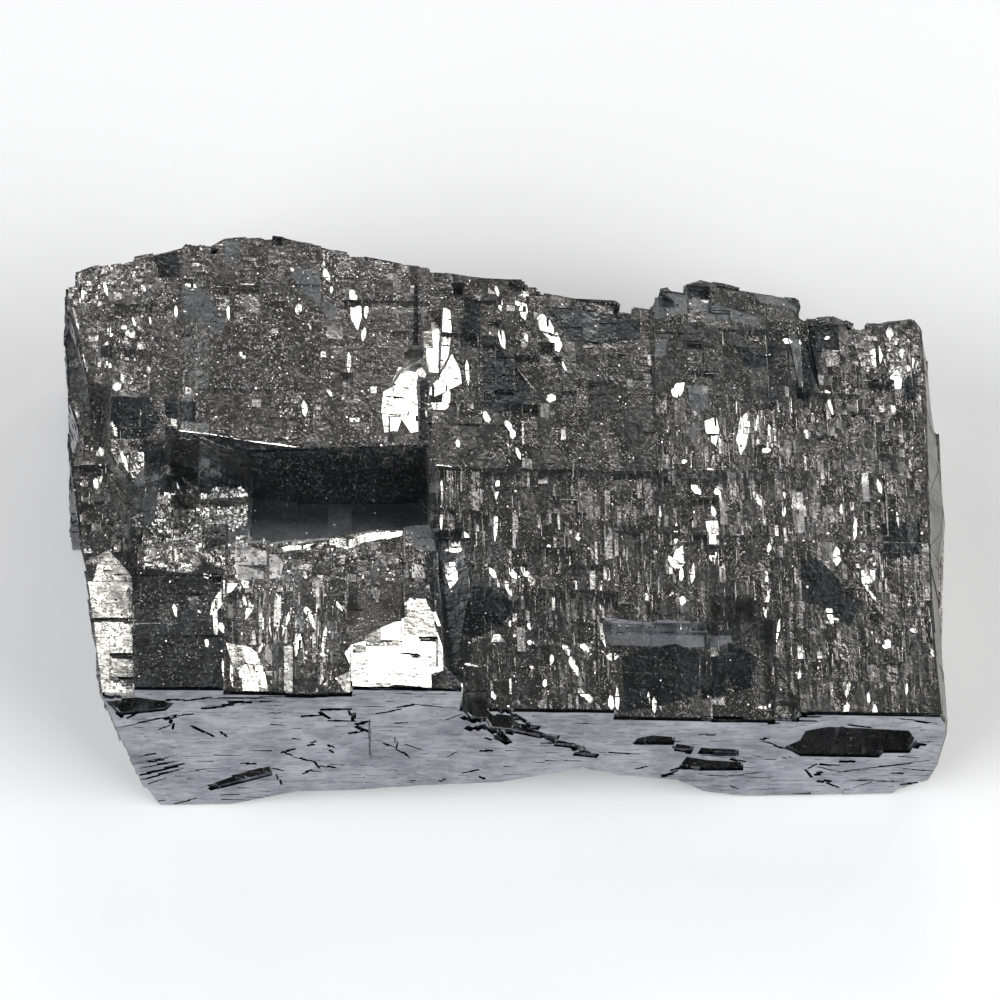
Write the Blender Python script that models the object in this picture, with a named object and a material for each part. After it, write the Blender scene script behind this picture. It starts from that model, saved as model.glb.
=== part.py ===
"""Galena hand specimen: one cleavage block of lead sulphide, broken out by hand.

Galena splits along three planes at right angles, so the block is described in its own
crystal axes: u to the right, v to the back and w up, all in millimetres from a point under
the middle of the block. Nearly every face is square to one of the three. The whole crystal
is rolled and turned a little, because it lies on a bottom that broke off the cleavage and
was ground flat, at z = 0.
"""
import math
import random
from dataclasses import dataclass

import bmesh
import bpy
from mathutils import Matrix, Vector

MM = 0.001

# How the crystal lies on the table.
ROLL = math.radians(3.5)
YAW = math.radians(1.0)
LIFT = 0.5

# Outer faces of the block before it is cut; left and back are the mean of rough edges.
FRONT = -24.5
BACK = 24.0
LEFT = -43.0
RIGHT = 41.3
BOTTOM = -8.0
CREST = 22.6

# Level of each terrace on the top.
PLATEAU = 22.0
LEFT_TERRACE = 18.0
LEFT_SHARDS = 17.4
LEFT_SLOPE = 19.2
SMOOTH_BLOCK = 21.4
MIDDLE_BLOCK = 20.5
BRIGHT_FACET = 21.4
BACK_TERRACE = 20.8
LUMP = 21.3
RIGHT_TERRACE = 19.5
FRONT_TERRACE = 20.1
SUNKEN_LEDGE = 17.1
POCKET_SHELF = 17.2
POCKET_FLOOR = 15.0

# Lean of the faces that do not follow the cleavage: the bright facets in degrees, the walls
# in radians.
FACET_LEAN = 11.0
POCKET_WALL_LEAN = math.radians(21.0)
STEP_WALL_LEAN = math.radians(14.0)
UNDERCUT = math.radians(11.5)

# Small chips and steps that the breaking left along edges and faces.
CHIP_SEED = 82
CHIPS = 40
CHIP_HEIGHT = (19.2, 22.6)
CHIP_SIZE = (0.7, 2.4)
RELIEF_AREA = 46.0
STEP_SIZES = {
    "bright": ((1.0, 3.2), (2.0, 5.0)),
    "side": ((1.5, 5.0), (4.0, 13.0)),
    "level": ((3.0, 11.0), (1.5, 5.0)),
}
SIDE_STEP_LENGTH = (3.0, 14.0)
SIDE_STEP_HEIGHT = (1.0, 6.0)
SIDE_STEP_DEPTH = (0.3, 1.4)
SIDE_STEP_PLACE = (-1.0, 21.0)

# How far the cutters reach past the block.
ABOVE = 40.0
CLEAR = 8.0

BACK_EDGE = [
    (-44.6, 21.0), (-43.8, 22.3), (-42.2, 23.3), (-39.0, 24.1), (-36.2, 24.8), (-33.3, 25.6),
    (-32.7, 26.3), (-30.4, 25.9), (-29.1, 26.8), (-24.3, 27.2), (-22.2, 26.8), (-19.0, 26.1),
    (-16.3, 25.5), (-13.8, 24.9), (-11.3, 24.3), (-6.9, 24.0), (-2.9, 23.5), (1.1, 22.8),
    (2.7, 21.9), (6.2, 21.3), (10.7, 20.7), (14.2, 20.1), (14.9, 22.0), (17.2, 22.6),
    (18.8, 23.2), (21.6, 22.8), (23.6, 22.2), (27.3, 21.6), (28.8, 20.5), (29.6, 19.9),
    (32.4, 20.3), (34.5, 19.4), (37.7, 19.8), (40.6, 20.2), (RIGHT, 19.1),
]
RIGHT_EDGE = [(RIGHT, 10.9), (40.9, -0.6), (40.7, -7.4), (40.4, -16.3), (40.6, FRONT)]
LEFT_EDGE = [
    (-41.0, FRONT), (-41.8, -22.6), (-42.1, -15.9), (-41.9, -11.0), (-42.4, -8.0),
    (-42.9, -3.5), (-43.7, 2.3), (-43.1, 6.4), (-44.1, 9.9), (-44.7, 17.6),
]


@dataclass
class Ledge:
    """A terrace: everything above its floor, inside its plan outline, is broken away."""

    name: str
    floor: float
    outline: list
    back: float = 0.0
    right: float = 0.0
    stepped: bool = True


@dataclass
class Pit:
    """A hollow in the front face, outlined in u and w, with its depth."""

    name: str
    depth: float
    outline: list


@dataclass
class Slope:
    """A sloping plane through a point, and the size of the block removed beyond it."""

    name: str
    centre: tuple
    normal: tuple
    size: tuple


LEDGES = [
    Ledge("plateau_left", PLATEAU + 0.2,
          [(-50, 30), (-33.4, 30), (-33.4, 4.0), (-36.6, 4.6), (-36.6, 0.0), (-50, 0.0)], 0.4, -0.4),
    Ledge("plateau_middle", PLATEAU, [(-33.6, 30), (-19.2, 30), (-19.2, 0), (-33.6, 0)], -0.3, 0.3),
    Ledge("plateau_right", PLATEAU - 0.2, [(-19.4, 30), (-8.0, 30), (-8.0, 0), (-19.4, 0)], 0.5, 0.4),
    Ledge("left_terrace", LEFT_TERRACE,
          [(-50, 17.7), (-44.2, 17.7), (-43.4, 15.5), (-41.8, 7.5), (-40.4, 3.6), (-40.0, 1.0),
           (-50, 1.0)], 1.0, -2.0),
    Ledge("left_shards", LEFT_SHARDS,
          [(-50, 2.3), (-40.2, 2.3), (-39.3, 0.4), (-38.2, -1.1), (-37.7, -4.0), (-37.4, -10.8),
           (-50, -10.8)], -1.5, -1.0),
    Ledge("left_slope", LEFT_SLOPE, [(-50, -10.4), (-37.3, -10.2), (-37.1, -30), (-50, -30)],
          FACET_LEAN, -2.0),
    Ledge("smooth_block", SMOOTH_BLOCK, [(-37.4, -7.4), (-28.4, -6.8), (-28.4, -30), (-37.4, -30)],
          4.5, -1.0),
    Ledge("middle_block", MIDDLE_BLOCK,
          [(-28.7, -3), (-6.0, -3), (-6.0, -13.6), (-11.3, -13.6), (-11.7, -16.2), (-14.4, -16.8),
           (-16.3, -19.3), (-16.4, -30), (-28.7, -30)], 4.0, 0.5),
    Ledge("bright_facet", BRIGHT_FACET,
          [(-16.7, -19.0), (-14.5, -16.4), (-11.9, -15.9), (-11.5, -13.3), (-5.0, -13.3), (-5.0, -30),
           (-16.7, -30)], FACET_LEAN, 1.0, stepped=False),
    Ledge("pocket_shelf", POCKET_SHELF,
          [(-37.1, 1.0), (-35.4, 1.6), (-34.3, 3.6), (-31.0, 3.0), (-31.0, -7.6), (-37.1, -8.6)],
          5.0, 4.0, stepped=False),
    Ledge("pocket_shelf_right", POCKET_SHELF - 0.5,
          [(-31.4, 3.2), (-29.0, 2.0), (-26.0, 1.2), (-26.0, -6.9), (-31.4, -7.6)], 8.0, -2.0,
          stepped=False),
    Ledge("pocket_floor", POCKET_FLOOR,
          [(-26.2, 1.0), (-21.2, 0.4), (-15.0, 0.2), (-9.4, 0.6), (-8.6, -0.8), (-8.4, -4.9),
           (-14.4, -5.6), (-18.3, -6.5), (-26.2, -7.3)], 1.0, -0.5, stepped=False),
    Ledge("back_terrace", BACK_TERRACE,
          [(-8.6, 30), (-8.6, 15.8), (-9.3, 11.6), (-8.9, 4.8), (-8.4, 0.8), (14.0, 0.8), (14.0, 30)],
          0.3, 0.6),
    Ledge("bright_slope", PLATEAU - 1.1,
          [(-13.4, 8.0), (-11.6, 12.0), (-9.4, 14.0), (-9.5, 19.4), (-7.2, 20.0), (-7.5, 11.6),
           (-8.2, 4.6), (-12.9, 4.6)], FACET_LEAN, 6.0, stepped=False),
    Ledge("lump", LUMP, [(13.8, 30), (29.3, 30), (28.9, 9.4), (27.6, 0.4), (13.8, 0.4)], -0.6, 0.8),
    Ledge("right_terrace", RIGHT_TERRACE,
          [(29.0, 30), (48, 30), (48, -6), (26.6, -6), (26.6, 0.6), (28.7, 9.4)], -1.0, 0.6),
    Ledge("right_front", RIGHT_TERRACE - 0.4, [(26.6, -5.6), (48, -5.6), (48, -30), (26.6, -30)],
          -3.0, 0.5),
    Ledge("front_terrace_back", FRONT_TERRACE,
          [(-8.1, 1.1), (27.2, 1.2), (27.2, -9.6), (-7.3, -9.6), (-7.8, -3)], -1.5, 0.0),
    Ledge("front_terrace_middle", FRONT_TERRACE - 0.5,
          [(-7.6, -6.4), (-2.3, -6.4), (-2.3, -7.9), (4.6, -7.9), (4.6, -9.2), (12.8, -9.2),
           (12.8, -6.9), (19.5, -6.9), (19.5, -8.1), (27.2, -8.1), (27.2, -14.4), (-6.9, -14.4)],
          -1.5, 0.3),
    Ledge("front_terrace_front", FRONT_TERRACE - 1.1,
          [(-6.9, -13.1), (1.6, -13.1), (1.6, -11.8), (8.4, -11.8), (8.4, -14.0), (27.2, -14.0),
           (27.2, -30), (-5.4, -30)], -3.4, 0.0),
    Ledge("sunken_ledge", SUNKEN_LEDGE,
          [(8.1, -14.8), (15.2, -16.7), (17.0, -14.6), (25.2, -14.3), (24.8, -30), (9.7, -30)],
          -1.0, 1.0),
]

PITS = [
    Pit("long_pit", 3.8,
        [(26.4, 11.7), (28.2, 9.8), (36.0, 9.7), (36.3, 10.7), (38.9, 10.8), (39.3, 13.4),
         (38.2, 15.6), (30.2, 16.2), (28.1, 15.3), (27.8, 13.3)]),
    Pit("top_notch_small", 2.4, [(18.7, 17.2), (21.8, 16.9), (22.0, 23), (18.9, 23)]),
    Pit("top_notch_wide", 2.2, [(22.2, 17.6), (27.2, 17.1), (27.2, 23), (22.4, 23)]),
    Pit("square_pit", 0.9, [(11.6, 11.8), (15.5, 11.9), (15.5, 13.6), (13.2, 13.9), (11.7, 13.2)]),
    Pit("thin_pit", 0.8, [(15.6, 10.6), (17.4, 10.1), (17.6, 11.6), (15.7, 12.2)]),
    Pit("narrow_pit", 0.9, [(18.0, 10.0), (22.1, 9.7), (22.0, 11.0), (18.2, 11.4)]),
    Pit("curved_pit", 1.3, [(16.4, 7.0), (18.6, 6.3), (22.9, 6.5), (22.7, 8.3), (19.2, 8.7),
                            (17.0, 9.4)]),
    Pit("slant_pit", 1.9, [(-5.6, 18.6), (-4.6, 16.6), (-3.2, 16.4), (-2.6, 14.6), (-0.7, 14.2),
                           (2.4, 12.9), (2.8, 14.0), (0.4, 15.4), (-0.6, 17.0), (-2.6, 17.8),
                           (-3.6, 19.4)]),
    Pit("slant_pit_tail", 0.9, [(-2.4, 13.4), (-1.0, 11.4), (-0.3, 12.0), (-1.4, 14.2)]),
    Pit("lower_left_pit", 1.1, [(-29.8, 2.0), (-29.0, 1.0), (-23.6, 4.2), (-23.8, 6.2), (-26.0, 5.2)]),
    Pit("corner_notch", 2.2, [(-39.9, 19.6), (-38.6, 16.6), (-34.2, 17.8), (-33.4, 19.4), (-36, 20.3)]),
]

SLOPES = [
    Slope("pocket_wall", (-21.4, 1.2, 18.9),
          (0.06, -math.cos(POCKET_WALL_LEAN), math.sin(POCKET_WALL_LEAN)), (25.6, 7.6, 5.0)),
    Slope("step_wall", (-7.7, -15.0, 20.3),
          (math.cos(STEP_WALL_LEAN), 0.08, math.sin(STEP_WALL_LEAN)), (19.0, 3.6, 3.0)),
    Slope("lump_slope", (29.3, 12.6, 20.4), (0.75, 0.1, 1.0), (9.5, 3.2, 4.0)),
    Slope("corner_undercut", (-38.0, FRONT, 9.5),
          (-math.cos(UNDERCUT), -0.16, -math.sin(UNDERCUT)), (60.0, 40.0, 20.0)),
]

# Breaks under the front edge: outline in u and w on the front face, and the angle in degrees
# at which the roof comes down towards the back.
UNDER_BREAKS = [
    ("left_break", [(-29.0, -6.0), (-27.6, -1.6), (-21.0, 1.2), (-15.5, 1.6), (-8.9, 2.7), (-1.0, 3.6),
                    (4.6, 5.7), (7.2, 6.9), (8.4, -6.0)], 21.0),
    ("right_break", [(6.4, -6.0), (7.1, 6.7), (10.6, 5.4), (16.6, 4.5), (19.8, 2.2), (25.4, 1.2),
                     (27.0, -6.0)], 25.0),
    ("corner_break", [(35.5, -6.0), (38.6, 2.9), (41.8, 6.4), (46.0, 8.0), (46.0, -6.0)], 18.0),
    ("left_corner_break", [(-41.0, -8.0), (-41.0, 3.6), (-36.0, 1.2), (-34.7, -2.4), (-33.0, -8.0)],
     12.0),
]

# Side faces with shallow steps: name, direction that the face looks in, in degrees from u
# about w, its distance that way, its two ends along it, and how many.
SIDE_FACES = [
    ("back_left_step", 90.0, 28.0, 14.0, 42.0, 10),
    ("back_middle_step", 90.0, 25.8, -8.0, 16.0, 9),
    ("back_right_step", 90.0, 23.0, -41.0, -10.0, 12),
    ("right_step", 0.0, 42.9, -24.0, 20.0, 12),
    ("left_step", 180.0, 44.6, -20.0, 18.0, 12),
]

# A chain of equal small steps runs down the front face, from the top edge to the right.
STEP_CHAIN_START = (-3.2, 19.3)
STEP_CHAIN_STRIDE = (2.05, -1.95)
STEP_CHAIN_LINKS = 6
STEP_CHAIN_PIT = (2.5, 0.9, 0.9)
STEP_CHAIN_SLANT = math.radians(12.0)

# Layers of the crystal that stand out lower down on the left and right: name, middle, size
# and degrees turned about w.
LAYERS = [
    ("right_layer", (37.8, 0.5, 2.9), (8.6, 37.6, 21.4), -1.8),
    ("right_bulge", (38.7, 4.6, 4.6), (8.8, 11.5, 18.4), -1.0),
    ("left_layer", (-39.6, 3.0, 0.4), (9.2, 26.0, 17.0), -1.5),
]

# Layers that stand out of the back, in turn along it: their widths, tops and how far they
# stand out are drawn between these ends.
BACK_LAYERS = 18
BACK_LAYER_WIDTH = (4.0, 15.0)
BACK_LAYER_TOP = (2.0, 17.6)
BACK_LAYER_REACH = (0.3, 2.2)
BACK_LAYER_DEPTH = 7.0


def clear_scene():
    """Remove whatever the file opened with."""
    for old in list(bpy.data.objects):
        bpy.data.objects.remove(old, do_unlink=True)


def new_collection(name):
    """A collection linked to the scene."""
    made = bpy.data.collections.new(name)
    bpy.context.scene.collection.children.link(made)
    return made


def galena_material():
    """Bright lead-grey metal of a fresh cleavage face."""
    material = bpy.data.materials.new("galena")
    material.use_nodes = True
    shader = material.node_tree.nodes["Principled BSDF"]
    shader.inputs["Base Color"].default_value = (0.36, 0.37, 0.40, 1)
    shader.inputs["Metallic"].default_value = 1.0
    shader.inputs["Roughness"].default_value = 0.25
    return material


def add_object(name, mesh, collection):
    """An object for a mesh, in a collection and carried by the crystal axes."""
    solid = bpy.data.objects.new(name, mesh)
    collection.objects.link(solid)
    solid.parent = bpy.data.objects["crystal_axes"]
    return solid


def stairs(points):
    """An outline's points with a square corner in each slanted stretch.

    Cleavage makes a slanting edge out of small square steps, so each point is reached along
    one crystal axis and then the other.
    """
    stepped = [points[0]]
    for u, v in points[1:]:
        stepped.append((u, stepped[-1][1]))
        stepped.append((u, v))
    return stepped


def prism_mesh(name, outline, low, high):
    """Closed mesh over a flat outline between two levels, made from a filled curve."""
    curve = bpy.data.curves.new(name, "CURVE")
    curve.dimensions = "2D"
    curve.fill_mode = "BOTH"
    curve.extrude = (high - low) / 2 * MM
    spline = curve.splines.new("POLY")
    spline.points.add(len(outline) - 1)
    for knot, (across, along) in zip(spline.points, outline):
        knot.co = (across * MM, along * MM, 0, 1)
    spline.use_cyclic_u = True
    flat = bpy.data.objects.new(name + "_outline", curve)
    bpy.context.scene.collection.objects.link(flat)
    flat.location.z = (low + high) / 2 * MM
    graph = bpy.context.evaluated_depsgraph_get()
    mesh = bpy.data.meshes.new_from_object(flat.evaluated_get(graph))
    mesh.transform(flat.matrix_world)
    weld = bmesh.new()
    weld.from_mesh(mesh)
    bmesh.ops.remove_doubles(weld, verts=weld.verts, dist=1e-6)
    bmesh.ops.recalc_face_normals(weld, faces=weld.faces)
    weld.to_mesh(mesh)
    weld.free()
    mesh.shade_flat()
    bpy.data.objects.remove(flat)
    return mesh


def box_mesh(name, centre, size, turn=Matrix.Identity(4)):
    """A block of a size with its middle at centre."""
    mesh = bpy.data.meshes.new(name)
    cube = bmesh.new()
    scale = Matrix.Diagonal(Vector(size) * MM).to_4x4()
    bmesh.ops.create_cube(cube, size=1.0, matrix=Matrix.Translation(Vector(centre) * MM) @ turn @ scale)
    cube.to_mesh(mesh)
    cube.free()
    return mesh


def leaned(mesh, pivot, back=0.0, right=0.0):
    """The mesh turned about a point, in degrees, so that its level faces lean back or right."""
    here = Matrix.Translation(Vector(pivot) * MM)
    turn = Matrix.Rotation(math.radians(-back), 4, "X") @ Matrix.Rotation(math.radians(right), 4, "Y")
    mesh.transform(here @ turn @ here.inverted())
    return mesh


def on_block(outline):
    """An outline's u and v values, with those far outside the block brought to its edge."""
    us = [max(LEFT, min(RIGHT, point[0])) for point in outline]
    vs = [max(FRONT, min(BACK, point[1])) for point in outline]
    return us, vs


def middle(outline):
    """Mean point of an outline on the block."""
    us, vs = on_block(outline)
    return sum(us) / len(us), sum(vs) / len(vs)


def cut_ledge(ledge, cutters):
    """Cutter for a terrace."""
    mesh = prism_mesh(ledge.name, ledge.outline, ledge.floor, ledge.floor + ABOVE)
    leaned(mesh, (*middle(ledge.outline), ledge.floor), ledge.back, ledge.right)
    add_object("cut_" + ledge.name, mesh, cutters)


def cut_pit(pit, cutters):
    """Cutter for a hollow in the front face."""
    mesh = prism_mesh(pit.name, pit.outline, -(FRONT + pit.depth), -(FRONT - CLEAR))
    mesh.transform(Matrix.Rotation(math.radians(90), 4, "X"))
    add_object("cut_" + pit.name, mesh, cutters)


def cut_slope(slope, cutters):
    """Cutter with one face in a sloping plane, that removes what lies beyond it."""
    outward = Vector(slope.normal).normalized()
    turn = outward.to_track_quat("Z", "Y").to_matrix().to_4x4()
    centre = Vector(slope.centre) + outward * slope.size[2] / 2
    add_object("cut_" + slope.name, box_mesh(slope.name, centre, slope.size, turn), cutters)


def cut_under_edge(cutters):
    """Shell-shaped breaks along the bottom of the front face, which meet in a cusp.

    Each is outlined in u and w on the front face, and its roof comes down to the bottom
    towards the back.
    """
    for name, outline, fall in UNDER_BREAKS:
        mesh = prism_mesh(name, outline, -(FRONT + ABOVE), -(FRONT - CLEAR))
        mesh.transform(Matrix.Rotation(math.radians(90), 4, "X"))
        leaned(mesh, (outline[0][0], FRONT, max(w for u, w in outline)), back=fall)
        add_object("cut_" + name, mesh, cutters)


def cut_step_chain(cutters):
    """The chain of small steps on the front face."""
    long, tall, depth = STEP_CHAIN_PIT
    for link in range(STEP_CHAIN_LINKS):
        u = STEP_CHAIN_START[0] + STEP_CHAIN_STRIDE[0] * link
        w = STEP_CHAIN_START[1] + STEP_CHAIN_STRIDE[1] * link
        turn = Matrix.Rotation(STEP_CHAIN_SLANT, 4, "Y")
        mesh = box_mesh("step", (u, FRONT, w), (long, depth * 2, tall), turn)
        add_object(f"cut_step_{link + 1}", mesh, cutters)


def terrace_height(ledge, u, v):
    """Height of a terrace's floor at a place."""
    u0, v0 = middle(ledge.outline)
    fall_back = math.tan(math.radians(ledge.back)) * (v - v0)
    fall_right = math.tan(math.radians(ledge.right)) * (u - u0)
    return ledge.floor - fall_back - fall_right


def cut_relief(rng, cutters):
    """Shallow broken steps inside the terraces, mostly longer along v than across.

    Most start flush with the terrace along one edge and sink away from it, as a cleavage step
    does: the bright ones sink to the back, the others to either side.
    """
    for ledge in LEDGES:
        if not ledge.stepped:
            continue
        us, vs = on_block(ledge.outline)
        area = (max(us) - min(us)) * (max(vs) - min(vs))
        for number in range(round(area / RELIEF_AREA)):
            kind = rng.choice(("bright", "side", "side", "level"))
            wide, deep = (rng.uniform(*span) for span in STEP_SIZES[kind])
            u = rng.uniform(min(us) + wide / 2, max(max(us) - wide / 2, min(us) + wide / 2))
            v = rng.uniform(min(vs) + deep / 2, max(max(vs) - deep / 2, min(vs) + deep / 2))
            floor = terrace_height(ledge, u, v)
            if kind == "bright":
                pivot = (u, v - deep / 2, floor - 0.05)
                lean = (FACET_LEAN + rng.uniform(-2.0, 2.0), rng.uniform(-2.0, 2.0))
            elif kind == "side":
                side = rng.choice((-1.0, 1.0))
                pivot = (u - side * wide / 2, v, floor - 0.04)
                lean = (ledge.back, side * rng.uniform(5.0, 9.0))
            else:
                pivot = (u, v, floor - rng.uniform(0.15, 0.4))
                lean = (ledge.back, ledge.right)
            mesh = box_mesh("relief", (u, v, pivot[2] + ABOVE / 2), (wide, deep, ABOVE))
            leaned(mesh, pivot, *lean)
            add_object(f"cut_{ledge.name}_step_{number + 1}", mesh, cutters)


def cut_sides(rng, cutters):
    """Shallow broken steps on the back, left and right faces, open to the outside."""
    for name, outward, place, start, end, count in SIDE_FACES:
        for number in range(count):
            long = rng.uniform(*SIDE_STEP_LENGTH)
            tall = rng.uniform(*SIDE_STEP_HEIGHT)
            inner = place - rng.uniform(*SIDE_STEP_DEPTH)
            middle_out = (inner + place + CLEAR) / 2
            along = rng.uniform(start, end)
            w = rng.uniform(*SIDE_STEP_PLACE)
            size = (place + CLEAR - inner, long, tall)
            turn = Matrix.Rotation(math.radians(outward + rng.uniform(-3.0, 3.0)), 4, "Z")
            side = Matrix.Rotation(math.radians(outward), 4, "Z") @ Vector((middle_out, along, w))
            add_object(f"cut_{name}_{number + 1}", box_mesh(name, side, size, turn), cutters)


def cut_chips(rng, cutters):
    """Small square chips out of the edge all round the top."""
    rim = stairs(BACK_EDGE) + RIGHT_EDGE + LEFT_EDGE
    for number in range(CHIPS):
        u, v = rng.choice(rim)
        size = [rng.uniform(*CHIP_SIZE) for axis in range(3)]
        centre = (u + rng.uniform(-0.6, 0.6), v + rng.uniform(-0.6, 0.6), rng.uniform(*CHIP_HEIGHT))
        turn = Matrix.Rotation(rng.uniform(-0.12, 0.12), 4, "Z")
        add_object(f"cut_chip_{number + 1}", box_mesh("chip", centre, size, turn), cutters)


def back_edge_at(u):
    """Distance back of the rough back edge at a place along it."""
    for (u0, v0), (u1, v1) in zip(BACK_EDGE, BACK_EDGE[1:]):
        if u0 <= u <= u1:
            return v0 + (v1 - v0) * (u - u0) / (u1 - u0)
    return BACK_EDGE[-1][1]


def add_layers(rng, specimen):
    """The block with the layers that stand out of its sides, as a union."""
    outline = stairs(BACK_EDGE) + RIGHT_EDGE + LEFT_EDGE
    block = add_object("galena_block", prism_mesh("galena_block", outline, BOTTOM, CREST), specimen)
    block.data.materials.append(galena_material())
    layers = new_collection("layers")
    for name, centre, size, turned in LAYERS:
        mesh = box_mesh(name, centre, size, Matrix.Rotation(math.radians(turned), 4, "Z"))
        add_object(name, mesh, layers)
    for number in range(BACK_LAYERS):
        u = BACK_EDGE[0][0] + 4 + (RIGHT - BACK_EDGE[0][0] - 8) * (number + rng.random()) / BACK_LAYERS
        wide = rng.uniform(*BACK_LAYER_WIDTH)
        low, high = BOTTOM + 1, rng.uniform(*BACK_LAYER_TOP)
        out = back_edge_at(u) + rng.uniform(*BACK_LAYER_REACH)
        centre = (u, out - BACK_LAYER_DEPTH / 2, (low + high) / 2)
        turn = Matrix.Rotation(rng.uniform(-0.05, 0.03), 4, "Z")
        mesh = box_mesh("back_layer", centre, (wide, BACK_LAYER_DEPTH, high - low), turn)
        add_object(f"back_layer_{number + 1}", mesh, layers)
    add_boolean(block, "layers_joined", "UNION", layers)
    return block


def add_boolean(block, name, operation, tools):
    """An exact Boolean between the block and every solid of a collection."""
    for tool in tools.objects:
        tool.hide_render = True
        tool.display_type = "WIRE"
    modifier = block.modifiers.new(name, "BOOLEAN")
    modifier.operation = operation
    modifier.solver = "EXACT"
    modifier.operand_type = "COLLECTION"
    modifier.collection = tools


def centre_on_origin(block, axes):
    """Move the crystal sideways so that the middle of its box is over the origin."""
    graph = bpy.context.evaluated_depsgraph_get()
    shape = block.evaluated_get(graph)
    corners = [shape.matrix_world @ vertex.co for vertex in shape.data.vertices]
    axes.location.x -= (min(c.x for c in corners) + max(c.x for c in corners)) / 2
    axes.location.y -= (min(c.y for c in corners) + max(c.y for c in corners)) / 2


def build():
    """Model the specimen."""
    clear_scene()
    rng = random.Random(CHIP_SEED)
    specimen = new_collection("galena_specimen")
    cutters = new_collection("cutters")
    axes = bpy.data.objects.new("crystal_axes", None)
    specimen.objects.link(axes)
    axes.rotation_euler = (0.0, ROLL, YAW)
    axes.location.z = LIFT * MM
    block = add_layers(rng, specimen)
    for ledge in LEDGES:
        cut_ledge(ledge, cutters)
    for pit in PITS:
        cut_pit(pit, cutters)
    for slope in SLOPES:
        cut_slope(slope, cutters)
    cut_under_edge(cutters)
    cut_step_chain(cutters)
    cut_relief(rng, cutters)
    cut_sides(rng, cutters)
    cut_chips(rng, cutters)
    ground = bpy.data.objects.new("cut_ground", box_mesh("ground", (0, 0, -30), (200, 200, 60)))
    cutters.objects.link(ground)
    add_boolean(block, "broken_away", "DIFFERENCE", cutters)
    centre_on_origin(block, axes)


build()
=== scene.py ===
"""Looks of a hand-sized galena specimen.

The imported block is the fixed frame. Its faces are cleaved here into the small rectangular steps, leaning
facets, splinters and crumbs that galena breaks into, and each kind of surface gets its own metallic finish.
Lengths inside the crystal are millimetres along its own axes: u to the right, v to the back, w up.
"""

from __future__ import annotations

import logging
import math
import random
from dataclasses import dataclass, field
from enum import Enum
from typing import Iterable, Iterator

import bmesh
import bpy
from bmesh.types import BMesh, BMFace
from bpy.types import Material, Modifier, Node, NodeOutputs, NodeSocket, NodeTree, Object
from mathutils import Matrix, Vector
from mathutils.kdtree import KDTree

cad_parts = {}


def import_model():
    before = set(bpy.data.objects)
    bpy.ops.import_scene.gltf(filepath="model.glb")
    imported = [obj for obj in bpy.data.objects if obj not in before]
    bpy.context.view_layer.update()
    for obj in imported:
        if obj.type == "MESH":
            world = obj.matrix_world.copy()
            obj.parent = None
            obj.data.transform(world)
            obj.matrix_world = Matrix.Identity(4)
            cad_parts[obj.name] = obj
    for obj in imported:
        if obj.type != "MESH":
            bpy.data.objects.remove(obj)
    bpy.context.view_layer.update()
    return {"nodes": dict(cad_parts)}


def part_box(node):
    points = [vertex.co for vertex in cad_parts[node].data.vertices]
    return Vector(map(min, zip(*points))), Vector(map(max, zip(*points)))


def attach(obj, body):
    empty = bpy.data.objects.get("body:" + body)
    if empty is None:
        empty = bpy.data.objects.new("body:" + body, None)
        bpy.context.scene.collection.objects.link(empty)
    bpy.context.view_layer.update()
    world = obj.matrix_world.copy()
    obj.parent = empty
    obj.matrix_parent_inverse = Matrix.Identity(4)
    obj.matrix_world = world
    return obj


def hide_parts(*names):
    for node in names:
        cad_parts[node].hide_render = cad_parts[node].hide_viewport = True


LOG = logging.getLogger("galena")

NODE = "galena_block"
BODY = "root"

MM = 0.001
SHELL = 0.42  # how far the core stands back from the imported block, mm
LEAST_RISE = 0.03  # how little and how much a facet's corner may rise above the core, mm
MOST_RISE = 0.42
ROOT_DEPTH = 0.30  # how far each cleavage cell reaches into the core, mm
FLASH_LEAN = 11.0  # backward lean, in degrees, at which a facet mirrors the key light
SIDE_LEAN = 13.0  # rightward lean at which a facet mirrors the strip light
FILL_LEANS = (31.0, 27.0)  # forward and sideways lean at which a facet mirrors one of the soft fills

HALFWAY = -5.4  # u at which the left and the right piece of the terraces meet
SLIVER = 0.004  # a facet smaller than this is left out, mm²
NEXT_TO = 0.0005  # corner points closer than this are one, mm

AXES = ((1.0, 0.0, 0.0), (0.0, 1.0, 0.0), (0.0, 0.0, 1.0))
BAR_LENGTH = 0.8  # usual length of the bars that a crack is made of, mm
BAR_OVERLAP = 0.12  # how far a bar reaches past its share of the crack, as a share of the whole
BAR_HALF = (0.2, 0.55)  # least and greatest half width of a bar, as a share of the crack's width
LOOKS = ("fluted", "sparkle", "shade", "matte")  # qualities of the grain that the finish reads from the cells

Point = tuple[float, float, float]
Outline = list[Point]
FlatPoint = tuple[float, float]
FlatOutline = tuple[FlatPoint, ...]
Box = tuple[float, float, float, float]


# -------------------- crystal


@dataclass(frozen=True)
class CrystalAxes:
    """The crystal's own axes as they lie in the row frame."""

    roll: float = 3.5
    yaw: float = 1.0
    origin: Point = (0.752, -1.4241, 0.5)

    def rotation(self) -> Matrix:
        """Rotation from crystal axes to the row frame."""
        return Matrix.Rotation(math.radians(self.yaw), 4, "Z") @ Matrix.Rotation(math.radians(self.roll), 4, "Y")

    def to_row(self) -> Matrix:
        """Matrix from crystal millimetres to the row frame's metres."""
        return Matrix.Translation(Vector(self.origin) * MM) @ self.rotation() @ Matrix.Scale(MM, 4)

    def to_crystal(self) -> Matrix:
        """Matrix from the row frame's metres to crystal millimetres."""
        return self.to_row().inverted()


class Facing(Enum):
    """Which part of the crystal's skin a face belongs to."""

    TERRACE = "terrace"
    FRONT = "front"
    SIDE = "side"
    RIND = "rind"


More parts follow.
